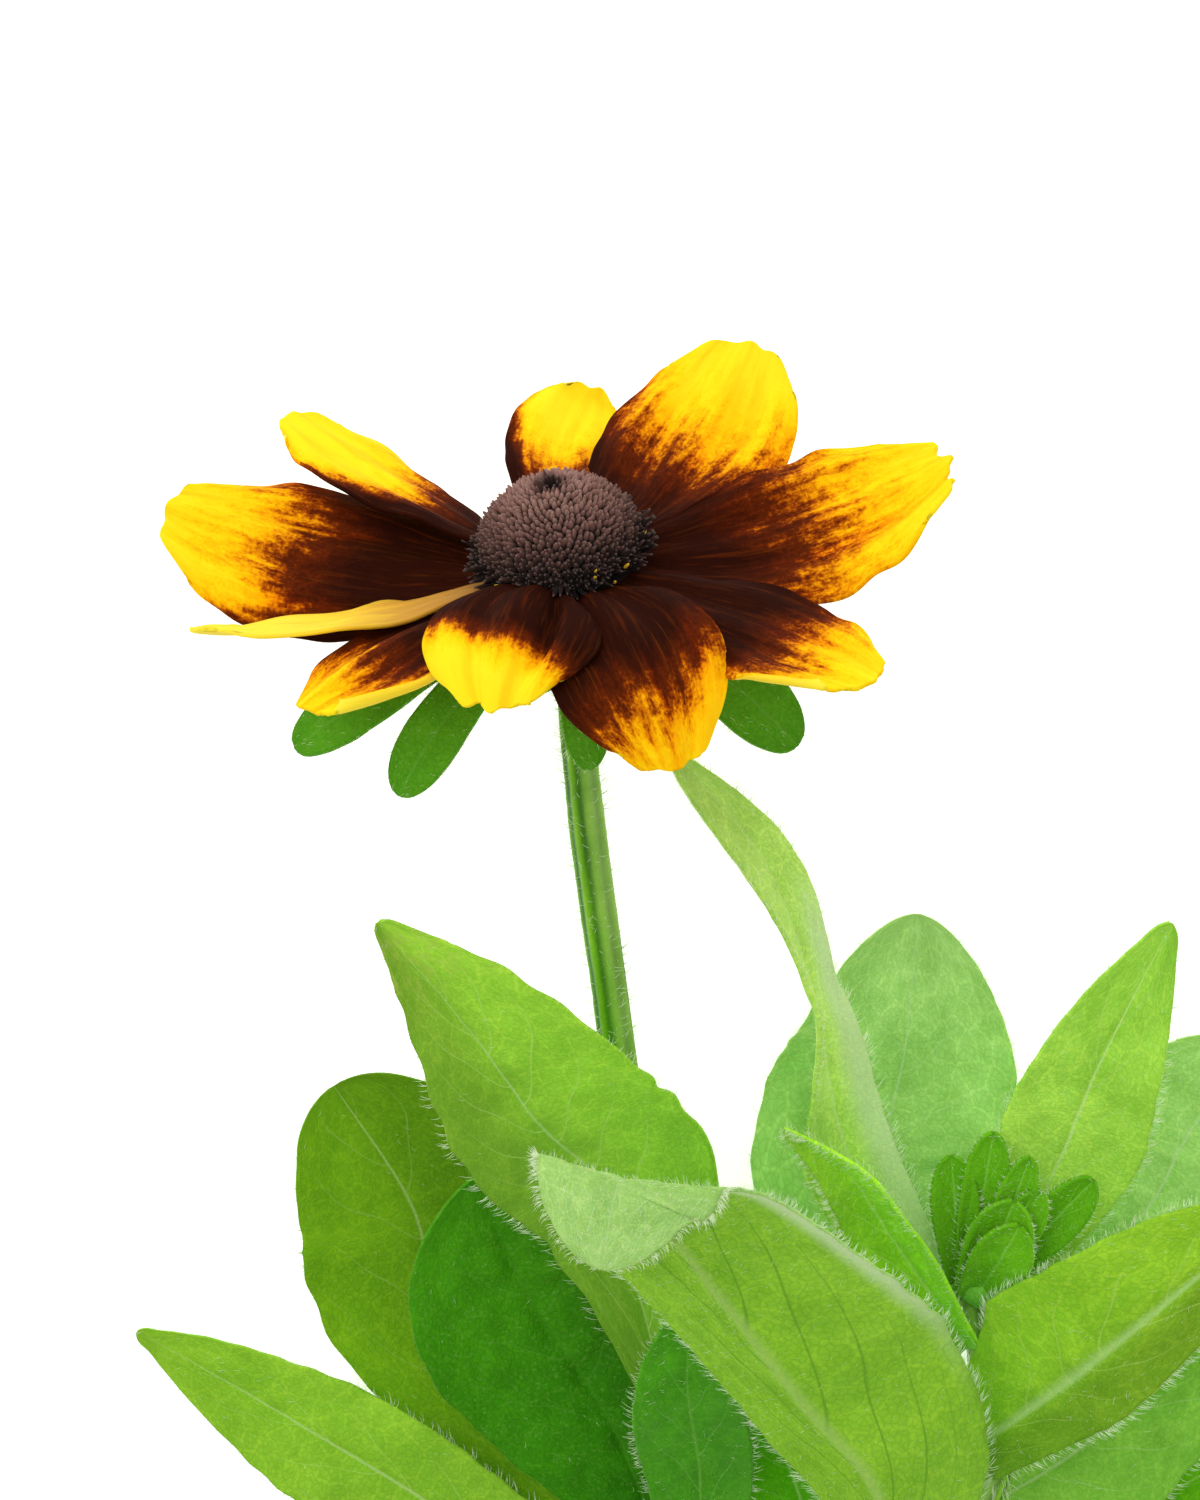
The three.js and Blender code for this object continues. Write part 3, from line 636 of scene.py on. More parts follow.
# %% Material: underside of the petals
petal_back, tree, shader = new_material(
    "petal_back", Roughness=0.6, Specular_IOR_Level=0.3, Subsurface_Weight=0.12, Subsurface_Scale=0.0008,
)
place = attribute(tree, "place")
_, petal_along, _ = parts(tree, attribute(tree, "share"))
back_noise = noise(tree, stretched(tree, place, (1.2, 0.14, 1)), 1.0, 3.0, 0.6)
back_level = moved_by(tree, petal_along, back_noise, 0.35)
back_stops = [
    (0.05, paint(150, 96, 14)),
    (0.38, paint(204, 148, 30)),
    (0.60, paint(250, 208, 26)),
    (1.00, paint(255, 228, 40)),
]
feed(tree, shader, "Base Color", ramp(tree, back_level, back_stops))
back_grain = noise(tree, stretched(tree, place, (4.0, 0.7, 1)), 1.0, 3.0, 0.6)
feed(tree, shader, "Normal", bump(tree, back_grain, 0.4, 0.00012))
print("material made:", petal_back.name)

# %% Grow the petals
for number, petal in enumerate(PETALS, 1):
    grown = grow_blade(
        f"petal_{number:02d}", petal_surface(petal, number), (petal["width"], petal["length"]), PETAL_CELLS,
        PETAL_THICKNESS, number, brown_border(petal),
    )
    upper_paint = petal_back if petal.get("turned") else petal_face
    finish_mesh(grown, [upper_paint, petal_back], ["ray_petals"])
print("petals grown:", len(PETALS))

# %% [markdown]
# ## The dark centre
# The centre is a dome of nearly fifteen hundred florets, with a dimple in its crown. They sit in a spiral,
# each turned from the last by the golden angle, and lean towards the top. A core of the same shape closes
# the gaps between them. One bud is modelled and repeated. The lowest ones are open: small dark tubes, with
# a few grains of pollen among them.

# %% The dome and one bud
RING_TOP = -0.4
DOME_FOOT = RING_TOP + 0.3
DISC_RADIUS = 7.6
DISC_HEIGHT = 8.9
DOME_TAPER = 1.4
GOLDEN_ANGLE = math.radians(137.508)


def dome_profile(share):
    """Radius and height of the dome, from its foot at 0 to its crown at 1."""
    angle = (-0.22 + 1.22 * share) * math.pi / 2 * 0.9
    return DISC_RADIUS * np.cos(angle) ** DOME_TAPER, DOME_FOOT + 1.9 + (DISC_HEIGHT - 2) * np.sin(angle)


def spun(name, profile, segments):
    """A turned mesh in the head's frame, from points of (radius, height) that start and end on the axis."""
    lathe = bmesh.new()
    line = [lathe.verts.new((radius, 0, height)) for radius, height in profile]
    edges = [lathe.edges.new(pair) for pair in zip(line, line[1:])]
    bmesh.ops.spin(
        lathe, geom=line + edges, cent=(0, 0, 0), axis=(0, 0, 1), angle=2 * math.pi, steps=segments,
        use_merge=True,
    )
    bmesh.ops.remove_doubles(lathe, verts=lathe.verts, dist=1e-4)
    bmesh.ops.recalc_face_normals(lathe, faces=lathe.faces)
    mesh = bpy.data.meshes.new(name)
    lathe.to_mesh(mesh)
    lathe.free()
    return mesh


def template(radii, segments, length=1.0):
    """Points and faces of a closed, tapered body along +Z, with a ring at each of the radii."""
    body = bmesh.new()
    bmesh.ops.create_cone(
        body, cap_ends=True, segments=segments, radius1=radii[0], radius2=radii[-1], depth=length
    )
    bmesh.ops.translate(body, verts=body.verts, vec=(0, 0, length / 2))
    for index in range(1, len(radii) - 1):
        height = length * index / (len(radii) - 1)
        everything = [*body.verts, *body.edges, *body.faces]
        bmesh.ops.bisect_plane(body, geom=everything, plane_co=(0, 0, height), plane_no=(0, 0, 1))
        ring = [v for v in body.verts if abs(v.co.z - height) < 1e-5]
        for vertex in ring:
            grown_by = radii[index] / max(vertex.co.xy.length, 1e-6)
            vertex.co.x *= grown_by
            vertex.co.y *= grown_by
    bmesh.ops.triangulate(body, faces=body.faces)
    points = np.array([v.co[:] for v in body.verts])
    faces = np.array([[v.index for v in f.verts] for f in body.faces])
    body.free()
    return points, faces


def scattered(name, shape, roots, directions, lengths, widths, droop=None, marks=None):
    """Copies of a template, each with its root, direction, length, width and droop, fused in one mesh."""
    points, faces = shape
    directions = unit(directions)
    helper = np.where(np.abs(directions[:, 2:3]) < 0.9, [[0.0, 0.0, 1.0]], [[1.0, 0.0, 0.0]])
    sides = unit(np.cross(helper, directions))
    fronts = np.cross(directions, sides)
    x, y, z = (points[:, i][None, :, None] for i in range(3))
    thickness = widths[:, None, None]
    placed = roots[:, None] + sides[:, None] * x * thickness + fronts[:, None] * y * thickness
    placed = placed + directions[:, None] * z * lengths[:, None, None]
    if droop is not None:
        placed = placed + droop[:, None] * z ** 2 * lengths[:, None, None]
    copies = len(roots)
    all_faces = (faces[None] + (np.arange(copies) * len(points))[:, None, None]).reshape(-1, 3)
    mesh = bpy.data.meshes.new(name)
    mesh.from_pydata(to_metres(placed.reshape(-1, 3)).tolist(), [], all_faces.tolist())
    if marks is not None:
        tips = np.broadcast_to(points[:, 2][None, :], (copies, len(points)))
        store(mesh, "mark", np.stack([np.repeat(m, len(points)) for m in marks] + [tips.ravel()], 1))
    mesh.validate()
    return bpy.data.objects.new(name, mesh)


print("dome foot and crown:", dome_profile(0.0), dome_profile(1.0))


# %% [markdown]
# The florets are a dusty, matt brown at the top, where they are still closed, and near black at the foot,
# which is partly their own colour and partly painted shade low on the dome. Each one stores how high it
# sits and a random number, and the material turns those into its colour. Each floret is also painted darker
# towards its own foot, as painted shade down in the gaps between them.

# %% Material: florets
floret_skin, tree, shader = new_material(
    "floret_skin", Roughness=0.8, Specular_IOR_Level=0.12, Sheen_Weight=0.06, Sheen_Roughness=0.5
)
floret_height, floret_draw, floret_tip = parts(tree, attribute(tree, "mark"))
jitter = moved_by(tree, floret_height, floret_draw, 0.16)
# From near black at the foot to dusty brown at the top: partly the florets' own colour, partly painted shade.
floret_stops = [
    (0.00, paint(20, 10, 9)),
    (0.20, paint(44, 26, 20)),
    (0.42, paint(84, 57, 49)),
    (0.68, paint(120, 85, 76)),
    (1.00, paint(158, 120, 108)),
]
body_colour = ramp(tree, jitter, floret_stops)
# Painted shade: each floret grows darker towards its foot, down between its neighbours.
in_shadow = mixed(tree, 1.0, body_colour, (0.3, 0.27, 0.28, 1), blend="MULTIPLY")
gap_shaded = mixed(tree, between(tree, floret_tip, 0.7, 0.25), body_colour, in_shadow)
tipped = mixed(tree, times(tree, between(tree, floret_tip, 0.85, 1.0), 0.15), gap_shaded, paint(190, 160, 150))
feed(tree, shader, "Base Color", tipped)
floret_place = add(tree, "ShaderNodeTexCoord").outputs["Object"]
feed(tree, shader, "Normal", bump(tree, noise(tree, floret_place, 4000.0, 2.0), 0.4, 0.0001))
print("material made:", floret_skin.name)

# %% Grow the centre
FLORETS = 1450
FLORET_WIDTH = 0.32
DIMPLE_RADIUS = 2.6
DIMPLE_DEPTH = 1.2
CORE_INSET = 0.75


def dimple(radius):
    return DIMPLE_DEPTH * (1 - smooth_step(0.0, DIMPLE_RADIUS, radius))


profile_share = np.linspace(0, 1, 200)
profile_radius, profile_height = dome_profile(profile_share)
closing = np.linspace(profile_radius[-1], 0.02, 30)[1:]
profile_radius = np.concatenate([profile_radius, closing])
crown_height = profile_height[-1] + 0.14 * (1 - (closing / closing[0]) ** 2)
profile_height = np.concatenate([profile_height, crown_height])
ring_length = np.hypot(np.diff(profile_radius), np.diff(profile_height))
ring_area = ring_length * (profile_radius[1:] + profile_radius[:-1]) / 2
area_share = np.concatenate([[0], np.cumsum(ring_area)]) / ring_area.sum()

draw = np.random.default_rng(11)
counted = (np.arange(FLORETS) + 0.5) / FLORETS
floret_radius = np.interp(counted, area_share, profile_radius)
floret_level = np.interp(counted, area_share, profile_height) - dimple(floret_radius)
floret_angle = np.arange(FLORETS) * GOLDEN_ANGLE
slope_radius = np.interp(counted, area_share, np.gradient(profile_radius, np.arange(len(profile_radius))))
slope_height = np.interp(counted, area_share, np.gradient(profile_height, np.arange(len(profile_height))))
outward = unit(np.stack([slope_height, -slope_radius], 1))
outward = outward * np.sign(outward[:, :1] + outward[:, 1:] * 0.2 + 1e-9)
floret_rise = (floret_level - DOME_FOOT) / DISC_HEIGHT * (1 - 0.9 * dimple(floret_radius) / DIMPLE_DEPTH)
round_x, round_y = np.cos(floret_angle), np.sin(floret_angle)
inner_radius = np.maximum(floret_radius - CORE_INSET * 0.9 * outward[:, 0], 0)
inner_level = floret_level - CORE_INSET * 0.9 * outward[:, 1]
roots = np.stack([inner_radius * round_x, inner_radius * round_y, inner_level], 1)
lean_up = 1.0 * (1 - floret_rise)
pointing = np.stack([outward[:, 0] * round_x, outward[:, 0] * round_y, outward[:, 1] + lean_up], 1)
pointing += draw.normal(0, 0.16, pointing.shape)
bud = template((0.8, 1.0, 0.8, 0.22), 6)
lengths = 0.95 + 0.45 * draw.random(FLORETS) + 0.2 * (1 - floret_rise)
lengths += 0.9 * (floret_radius < 1.1) * draw.random(FLORETS)
widths = np.full(FLORETS, FLORET_WIDTH) * draw.uniform(0.8, 1.15, FLORETS)
florets = scattered(
    "centre_florets", bud, from_head(roots), pointing @ head_turn.T, lengths, widths,
    marks=(floret_rise, draw.random(FLORETS)),
)
finish_mesh(florets, [floret_skin], ["disc"])

core_step = 12
core_radius, core_height = profile_radius[::core_step], profile_height[::core_step]
core_profile = [(0, DOME_FOOT)] + [
    (max(r - CORE_INSET, 0.0), h - 0.3 - dimple(r))
    for r, h in zip(core_radius, core_height)
    if r > CORE_INSET + 0.1
]
core_profile.append((0, profile_height[-1] - 0.6 - DIMPLE_DEPTH))
core_mesh = spun("centre_core", core_profile, 48)
core_points = np.array([v.co[:] for v in core_mesh.vertices])
core_mesh.vertices.foreach_set("co", to_metres(from_head(core_points)).ravel())
# The core is marked low and deep, so it is painted with the shade of the gaps.
store(core_mesh, "mark", np.tile([0.05, 0.5, 0.4], (len(core_points), 1)))
finish_mesh(bpy.data.objects.new("centre_core", core_mesh), [floret_skin], ["disc"])
print("florets:", FLORETS, "triangles:", len(florets.data.polygons))

# %% [markdown]
# Round the foot of the dome the open florets push their dark tubes out between the petals' roots. They are
# longer, thinner copies of the same kind of body. Six grains of yellow pollen lie among them.

# %% Open florets and pollen
OPEN_FLORETS = 420
open_angle = draw.uniform(0, 2 * np.pi, OPEN_FLORETS)
open_level = DOME_FOOT + draw.uniform(0.0, 1.9, OPEN_FLORETS)
open_out = np.stack([np.cos(open_angle), np.sin(open_angle)], 1)
open_roots = np.concatenate([open_out * (DISC_RADIUS - 1.0), open_level[:, None]], 1)
open_pointing = np.concatenate([open_out, draw.uniform(-0.1, 1.3, (OPEN_FLORETS, 1))], 1)
open_pointing += draw.normal(0, 0.22, open_pointing.shape)
tube = template((0.7, 0.8, 1.0, 0.35), 5)
open_lengths = draw.uniform(1.5, 3.3, OPEN_FLORETS)
open_florets = scattered(
    "open_florets", tube, from_head(open_roots), open_pointing @ head_turn.T, open_lengths,
    draw.uniform(0.12, 0.3, OPEN_FLORETS),
    marks=(draw.uniform(0.0, 0.22, OPEN_FLORETS), draw.random(OPEN_FLORETS)),
)
finish_mesh(open_florets, [floret_skin], [])

pollen_skin, tree, shader = new_material("pollen_skin", Roughness=0.85, Specular_IOR_Level=0.2)
pollen_place = add(tree, "ShaderNodeTexCoord").outputs["Object"]
pollen_stops = [(0.3, paint(214, 150, 16)), (0.7, paint(252, 214, 60))]
feed(tree, shader, "Base Color", ramp(tree, noise(tree, pollen_place, 2600.0, 2.0), pollen_stops))
POLLEN_ANGLES = [-69, -68, -44, -10, -55, -139]
POLLEN_LEVELS = [1.4, 2.0, 1.0, 2.0, 0.1, 0.8]
pollen_angle = np.radians(POLLEN_ANGLES)
pollen_out = np.stack([np.cos(pollen_angle), np.sin(pollen_angle)], 1)
pollen_roots = np.concatenate([pollen_out * (DISC_RADIUS + 0.35), np.array(POLLEN_LEVELS)[:, None]], 1)
pollen_pointing = np.concatenate([pollen_out, np.full((len(pollen_angle), 1), 0.9)], 1)
pollen = scattered(
    "pollen_grains", template((0.5, 1.0, 0.8, 0.3), 6), from_head(pollen_roots),
    pollen_pointing @ head_turn.T, draw.uniform(0.5, 1.0, len(pollen_angle)),
    draw.uniform(0.14, 0.24, len(pollen_angle)),
)
finish_mesh(pollen, [pollen_skin], [])
print("open florets:", OPEN_FLORETS, "pollen grains:", len(POLLEN_ANGLES))

# %% [markdown]
# ## Leaves
# A leaf follows its midrib, a smooth line through a few points. The directions across it turn from root to
# tip, and its section is a shallow arc, folded a little at the midrib and rippled at the margins. On top of
# that the veins are sunk and the skin between them swells, and small teeth stand on the margins.


# %% The shape of a leaf
def along_curve(points, share):
    """Points and directions of a smooth line through evenly spaced points (a Catmull-Rom spline)."""
    knots = np.asarray(points, float)
    last = len(knots) - 1
    place = np.clip(share, 0, 1) * last
    first = np.minimum(place.astype(int), last - 1)
    rest = (place - first)[:, None]
    padded = np.vstack([2 * knots[0] - knots[1], knots, 2 * knots[-1] - knots[-2]])
    a, b, c, d = (padded[first + i] for i in range(4))
    start, end = (c - a) / 2, (d - b) / 2
    cubic, square = 2 * b - 2 * c + start + end, -3 * b + 3 * c - 2 * start - end
    point = cubic * rest ** 3 + square * rest ** 2 + start * rest + b
    return point, unit(3 * cubic * rest ** 2 + 2 * square * rest + start)


def lerp_rows(rows, share):
    rows = np.asarray(rows, float)
    place = np.clip(share, 0, 1) * (len(rows) - 1)
    first = np.minimum(place.astype(int), len(rows) - 2)
    rest = (place - first)[:, None]
    return rows[first] * (1 - rest) + rows[first + 1] * rest


def leaf_outline(along, foot, broadest, point, round_tip=0.12):
    """The share of the full width. Close to the tip the outline grows blunt."""
    rising = foot + (1 - foot) * np.sin(np.pi / 2 * np.clip(along / broadest, 0, 1)) ** 1.3
    falling = np.cos(np.pi / 2 * np.clip((along - broadest) / (1 - broadest), 0, 1))
    blunt = min(point, 0.62)
    power = blunt + (point - blunt) * smooth_step(0, round_tip, 1 - along)
    return np.where(along < broadest, rising, np.maximum(falling, 0.002) ** power)


LEAF_DEFAULTS = dict(
    cup=20, fold=0.08, wave=0.05, waves=3, foot=0.3, broadest=0.5, point=0.8, halves=[[1, 1], [1, 1]],
    veins=6, slant=0.3, relief=1.0, teeth=0.012, rib=1.0, round_tip=0.08, ease=0.0, arch=0.0,
)


def leaf_surface(given_shape, seed):
    shape = {**LEAF_DEFAULTS, **given_shape}
    bend = math.radians(shape["cup"])
    length = spine_length(shape["spine"])

    def plain(across, along):
        centre, tangent = along_curve(shape["spine"], along)
        side = lerp_rows(shape["across"], along)
        side = unit(side - tangent * np.sum(side * tangent, 1)[:, None])
        up = np.cross(side, tangent)
        fullness = lerp_rows(shape["halves"], along)
        fullness = np.where(across < 0, fullness[:, 0], fullness[:, 1])
        outline = leaf_outline(along, shape["foot"], shape["broadest"], shape["point"], shape["round_tip"])
        teeth = 1 + shape["teeth"] * np.abs(across) ** 6 * wander(seed + 5, along * length, across, 3.5)
        half = shape["width"] / 2 * outline * fullness
        ripple = shape["wave"] * across ** 2 * np.sin(
            2 * np.pi * shape["waves"] * along + np.where(across > 0, 0, 2)
        )
        lift = (1 - np.cos(bend * across)) / bend + shape["fold"] * np.abs(across) + ripple
        lift *= 1 - shape["arch"] * smooth_step(0.4, 0.75, along)
        centre = centre + side * (half * teeth * np.sin(bend * across) / bend)[:, None]
        return over_table(centre + up * (half * lift)[:, None]), half

    def eased(across, along):
        points, half = plain(across, along)
        if not shape["ease"]:
            return points, half
        step = np.minimum(shape["ease"], np.minimum(along, 1 - along))
        before, after = plain(across, along - step)[0], plain(across, along + step)[0]
        return (points * 2 + before + after) / 4, half

    def surface(across, along):
        points, half = eased(across, along)
        _, _, normal = facing(lambda s, t: eased(s, t)[0], across, along)
        from_midrib = np.abs(across) * half
        level = along - shape["slant"] * np.abs(across) ** VEIN_BEND
        phase = level * shape["veins"] + 0.37 * (across > 0)
        to_vein = np.abs(phase - np.round(phase)) * length / shape["veins"]
        fading = (1 - np.abs(across) ** 3) * smooth_step(1.0, 0.8, along)
        groove = -0.3 * np.exp(-((from_midrib / 0.6) ** 2)) * smooth_step(1.02, 0.7, along)
        quilt = 0.17 * (np.clip(to_vein / 2.2, 0, 1) - 0.6) * fading * smooth_step(0.3, 2.0, from_midrib)
        swell = 0.1 * wander(seed, across * half, along * length, 5) * fading
        height = (groove + quilt + swell) * shape["relief"]
        points = points + normal * height[:, None]
        points[:, 2] = np.maximum(points[:, 2], 0.27)
        return points

    return surface, shape, length


def spine_length(spine):
    points, _ = along_curve(spine, np.linspace(0, 1, 60))
    return float(np.linalg.norm(np.diff(points, axis=0), axis=1).sum())


# %% [markdown]
# The leaves' table gives each its midrib, from root to tip, the directions across it, its width, and the
# colours at tip and root. "halves" widens or narrows each half from root to tip, and "foot", "broadest" and
# "point" shape the outline. "shade" darkens or lightens its left and right half, as light through and on a
# leaf does. "line" is how clearly its veins show, and "velvet" how much it shines at a low angle.

# %% Table of leaves
LEAVES = {
    "leaf_upper_left": dict(
        spine=[[10, -88.5, 12.3], [4.5, -65.2, 20], [-2.1, -58.2, 24], [-8.9, -47.3, 27],
               [-18.1, -36.1, 28]],
        across=[[0.77, 0.52, 0.37], [0.8, 0.59, 0.14]], width=25.3, halves=[[0.74, 1.17], [0.74, 1.17]],
        foot=0.25, broadest=0.36, cup=14, teeth=0.045, ease=0.1, veins=8, round_tip=0.05,
        tip=(154, 206, 60), root=(130, 189, 50), shade=(0.68, 1.04), blotch=1.0, line=0.55),
    # Painted shade: this leaf's dark greens, its smaller gain and its darker midrib stand for the shadow of
    # the curled leaf above it.
    "leaf_shaded": dict(
        spine=[[9.9, -106, 8], [4.5, -92, 9.5], [-4, -78, 10.5], [-9, -66, 10.5]],
        across=[[1, 0.2, 0], [1, 0.2, 0]], width=25, halves=[[1, 1.45], [1, 1.45]], foot=0.35, broadest=0.62,
        point=0.6, relief=1.8,
        tip=(72, 149, 12), root=(45, 124, 3), shade=(1.0, 0.85), line=0.12, gain=1.1, midrib=(70, 140, 24)),
    "leaf_round_left": dict(
        spine=[[10, -106.5, 6], [-0.1, -95.9, 3.5], [-12, -83, 1], [-16.2, -71, -0.5], [-23.8, -59, -1]],
        across=[[0.8, 0.59, 0], [0.8, 0.6, 0]], width=25, foot=0.3, broadest=0.68, point=0.47, cup=16,
        tip=(104, 152, 17), root=(107, 159, 18), shade=(1.05, 0.85)),
    "leaf_low_left": dict(
        spine=[[11, -116, 4.5], [-6, -106.5, 7], [-19.4, -98.4, 6], [-32.1, -91.8, 2.3],
               [-44.5, -85.2, -1]],
        across=[[0.4, 0.9, -0.04], [0.31, 0.99, -0.05]], width=14.5, broadest=0.47, cup=14, round_tip=0.04,
        tip=(137, 187, 45), root=(123, 174, 43), shade=(0.92, 1.02)),
    "leaf_small_centre": dict(
        spine=[[12.8, -119, 6], [13.7, -97.7, 14.5], [12.3, -85.7, 21], [12.3, -76.1, 23]],
        across=[[1, 0.02, -0.04], [1, 0.08, 0.06]], width=11.9, foot=0.35, broadest=0.53, point=0.6, cup=25,
        tip=(75, 152, 24), root=(65, 142, 16), shade=(1.0, 0.9), velvet=0.1, midrib=(112, 172, 62)),
    "leaf_curled_front": dict(
        spine=[[31, -116.3, 8], [31.6, -97.5, 20], [22.7, -83, 30], [13.6, -68.5, 39], [7.2, -58.6, 45.5],
               [5.2, -57.0, 49], [3.6, -64.6, 51]],
        across=[[-0.75, -0.66, 0], [-0.81, -0.4, -0.25], [-0.97, 0.12, -0.23], [-0.98, 0.2, -0.06]],
        width=23.5, halves=[[1.2, 0.6], [1.38, 0.5], [1.04, 0.92], [1.7, 1.6]], foot=0.45, broadest=0.35,
        point=0.64, cup=10, rows=110, arch=1.2, slant=0.5, veins=7, line=0.75,
        tip=(163, 203, 118), root=(140, 189, 86), shade=(1.0, 1.0),
        back=(131, 184, 39), back_veins=(92, 150, 26), vein_width=0.6, velvet=0.3, pale_edge=0.8),
    "leaf_behind_curled": dict(
        spine=[[27, -118.3, 6.8], [24.5, -102, 9.5], [21, -92, 10.8], [17, -82, 11]],
        across=[[0.95, 0.3, 0], [0.95, 0.3, 0]], width=13, foot=0.4,
        tip=(84, 167, 8), root=(84, 167, 8), shade=(1.0, 1.0)),
    "leaf_narrow_arched": dict(
        spine=[[37.6, -79.6, 12.8], [28.3, -62.4, 13.5], [25, -46.3, 17], [19.8, -32.4, 16],
               [10.3, -21.4, 14]],
        across=[[0.8, 0.5, -0.18], [0.83, 0.33, -0.38], [0.2, 0.19, -0.97], [0.62, 0.35, -0.69],
                [0.8, 0.59, -0.06]],
        width=10.8, halves=[[1.1, 0.9], [1.1, 0.9]], foot=0.6, broadest=0.29, point=0.64, cup=25,
        tip=(185, 233, 114), root=(173, 224, 85), shade=(0.95, 1.1), hairs_and_sheen_band=1.0, velvet=0.2),
    "leaf_round_back": dict(
        spine=[[38.8, -80.4, 10.3], [32.8, -67.9, 4], [34.9, -54.8, 0], [36, -41, -1]],
        across=[[1, 0, 0.03], [1, 0, 0]], width=27.3, foot=0.25, broadest=0.34, point=0.57, cup=12,
        tip=(162, 206, 121), root=(144, 198, 105), shade=(1.12, 1.05), line=0.25, rib=0.7),
    "leaf_folded_small": dict(
        spine=[[40.6, -83, 14.3], [32.3, -69.6, 19], [27.8, -62.7, 21], [21.7, -58.2, 22]],
        across=[[0.81, 0.52, 0.24], [0.78, 0.44, 0.42]], width=8, foot=0.5, broadest=0.3, cup=60,
        tip=(167, 221, 62), root=(136, 206, 31), shade=(0.8, 1.2), velvet=0.2),
    "leaf_pointed_right": dict(
        spine=[[42.6, -80, 11], [49.8, -64.8, 10.5], [53.9, -54.4, 10.5], [61.2, -40.4, 7.5]],
        across=[[1, -0.3, -0.05], [1, -0.32, -0.08]], width=15, foot=0.4, broadest=0.45, point=0.74, cup=18,
        tip=(144, 200, 64), root=(175, 218, 88), shade=(1.05, 0.98)),
    "leaf_back_right": dict(
        spine=[[43.2, -82.6, 9.8], [58.5, -72.4, 4], [64.3, -63.8, 0], [71, -54.4, -1]],
        across=[[0.9, -0.5, 0], [0.9, -0.5, 0]], width=20.2, foot=0.22, broadest=0.62, point=0.59, cup=10,
        tip=(169, 215, 124), root=(152, 205, 105), shade=(1.05, 0.95), line=0.2),
    "leaf_broad_right": dict(
        spine=[[41.5, -93.5, 13.8], [49, -86.3, 18.8], [53.8, -81.8, 20.6], [63.5, -72.9, 22],
               [72, -66, 21]],
        across=[[0.65, -0.75, 0.15], [0.65, -0.75, 0.2]], width=17,
        halves=[[0.8, 0.6], [1.4, 0.7], [1.25, 0.75], [1.2, 0.75]], foot=0.75, broadest=0.4,
        point=0.7, cup=16,
        tip=(141, 186, 44), root=(122, 181, 37), shade=(1.1, 0.64), midrib=(178, 216, 132), rib=3.0),
    "leaf_low_right": dict(
        spine=[[43.2, -100.8, 9.8], [50.8, -97, 7.5], [61.2, -90, 4], [76, -80, -1]],
        across=[[0.5, -0.85, 0], [0.5, -0.85, 0]], width=19, foot=0.5, broadest=0.45, cup=12,
        tip=(126, 188, 64), root=(124, 184, 62), shade=(1.05, 0.95)),
    "leaf_lowest_right": dict(
        spine=[[38.2, -108.8, 8.2], [48.5, -109, 5.5], [60, -103.5, 2.6], [76, -95, -1]],
        across=[[0.4, -0.9, 0], [0.4, -0.9, 0]], width=15, foot=0.4, broadest=0.45, cup=12,
        tip=(93, 171, 7), root=(101, 175, 17), shade=(1.0, 0.95)),
}
LEAF_CELLS = (40, 76)
LEAF_THICKNESS = 0.45


# %% [markdown]
# One function makes the green of a leaf from its own values: the colour runs from root to tip, each half is
# darkened or lightened by its painted shade, the veins and the midrib are drawn in a paler green, and the
# shared skin adds patches, cells and pale specks. The upper-left leaf has yellow and brown blotches near its
# tip, and the arched one a pale band: its velvet, with a painted sheen where it twists to the light.


# %% Materials: leaves
def brighter(colour, gain):
    """Makes up for the light that a leaf loses to its neighbours."""
    return tuple(min(c * gain, 0.9) for c in colour[:3]) + (1.0,)


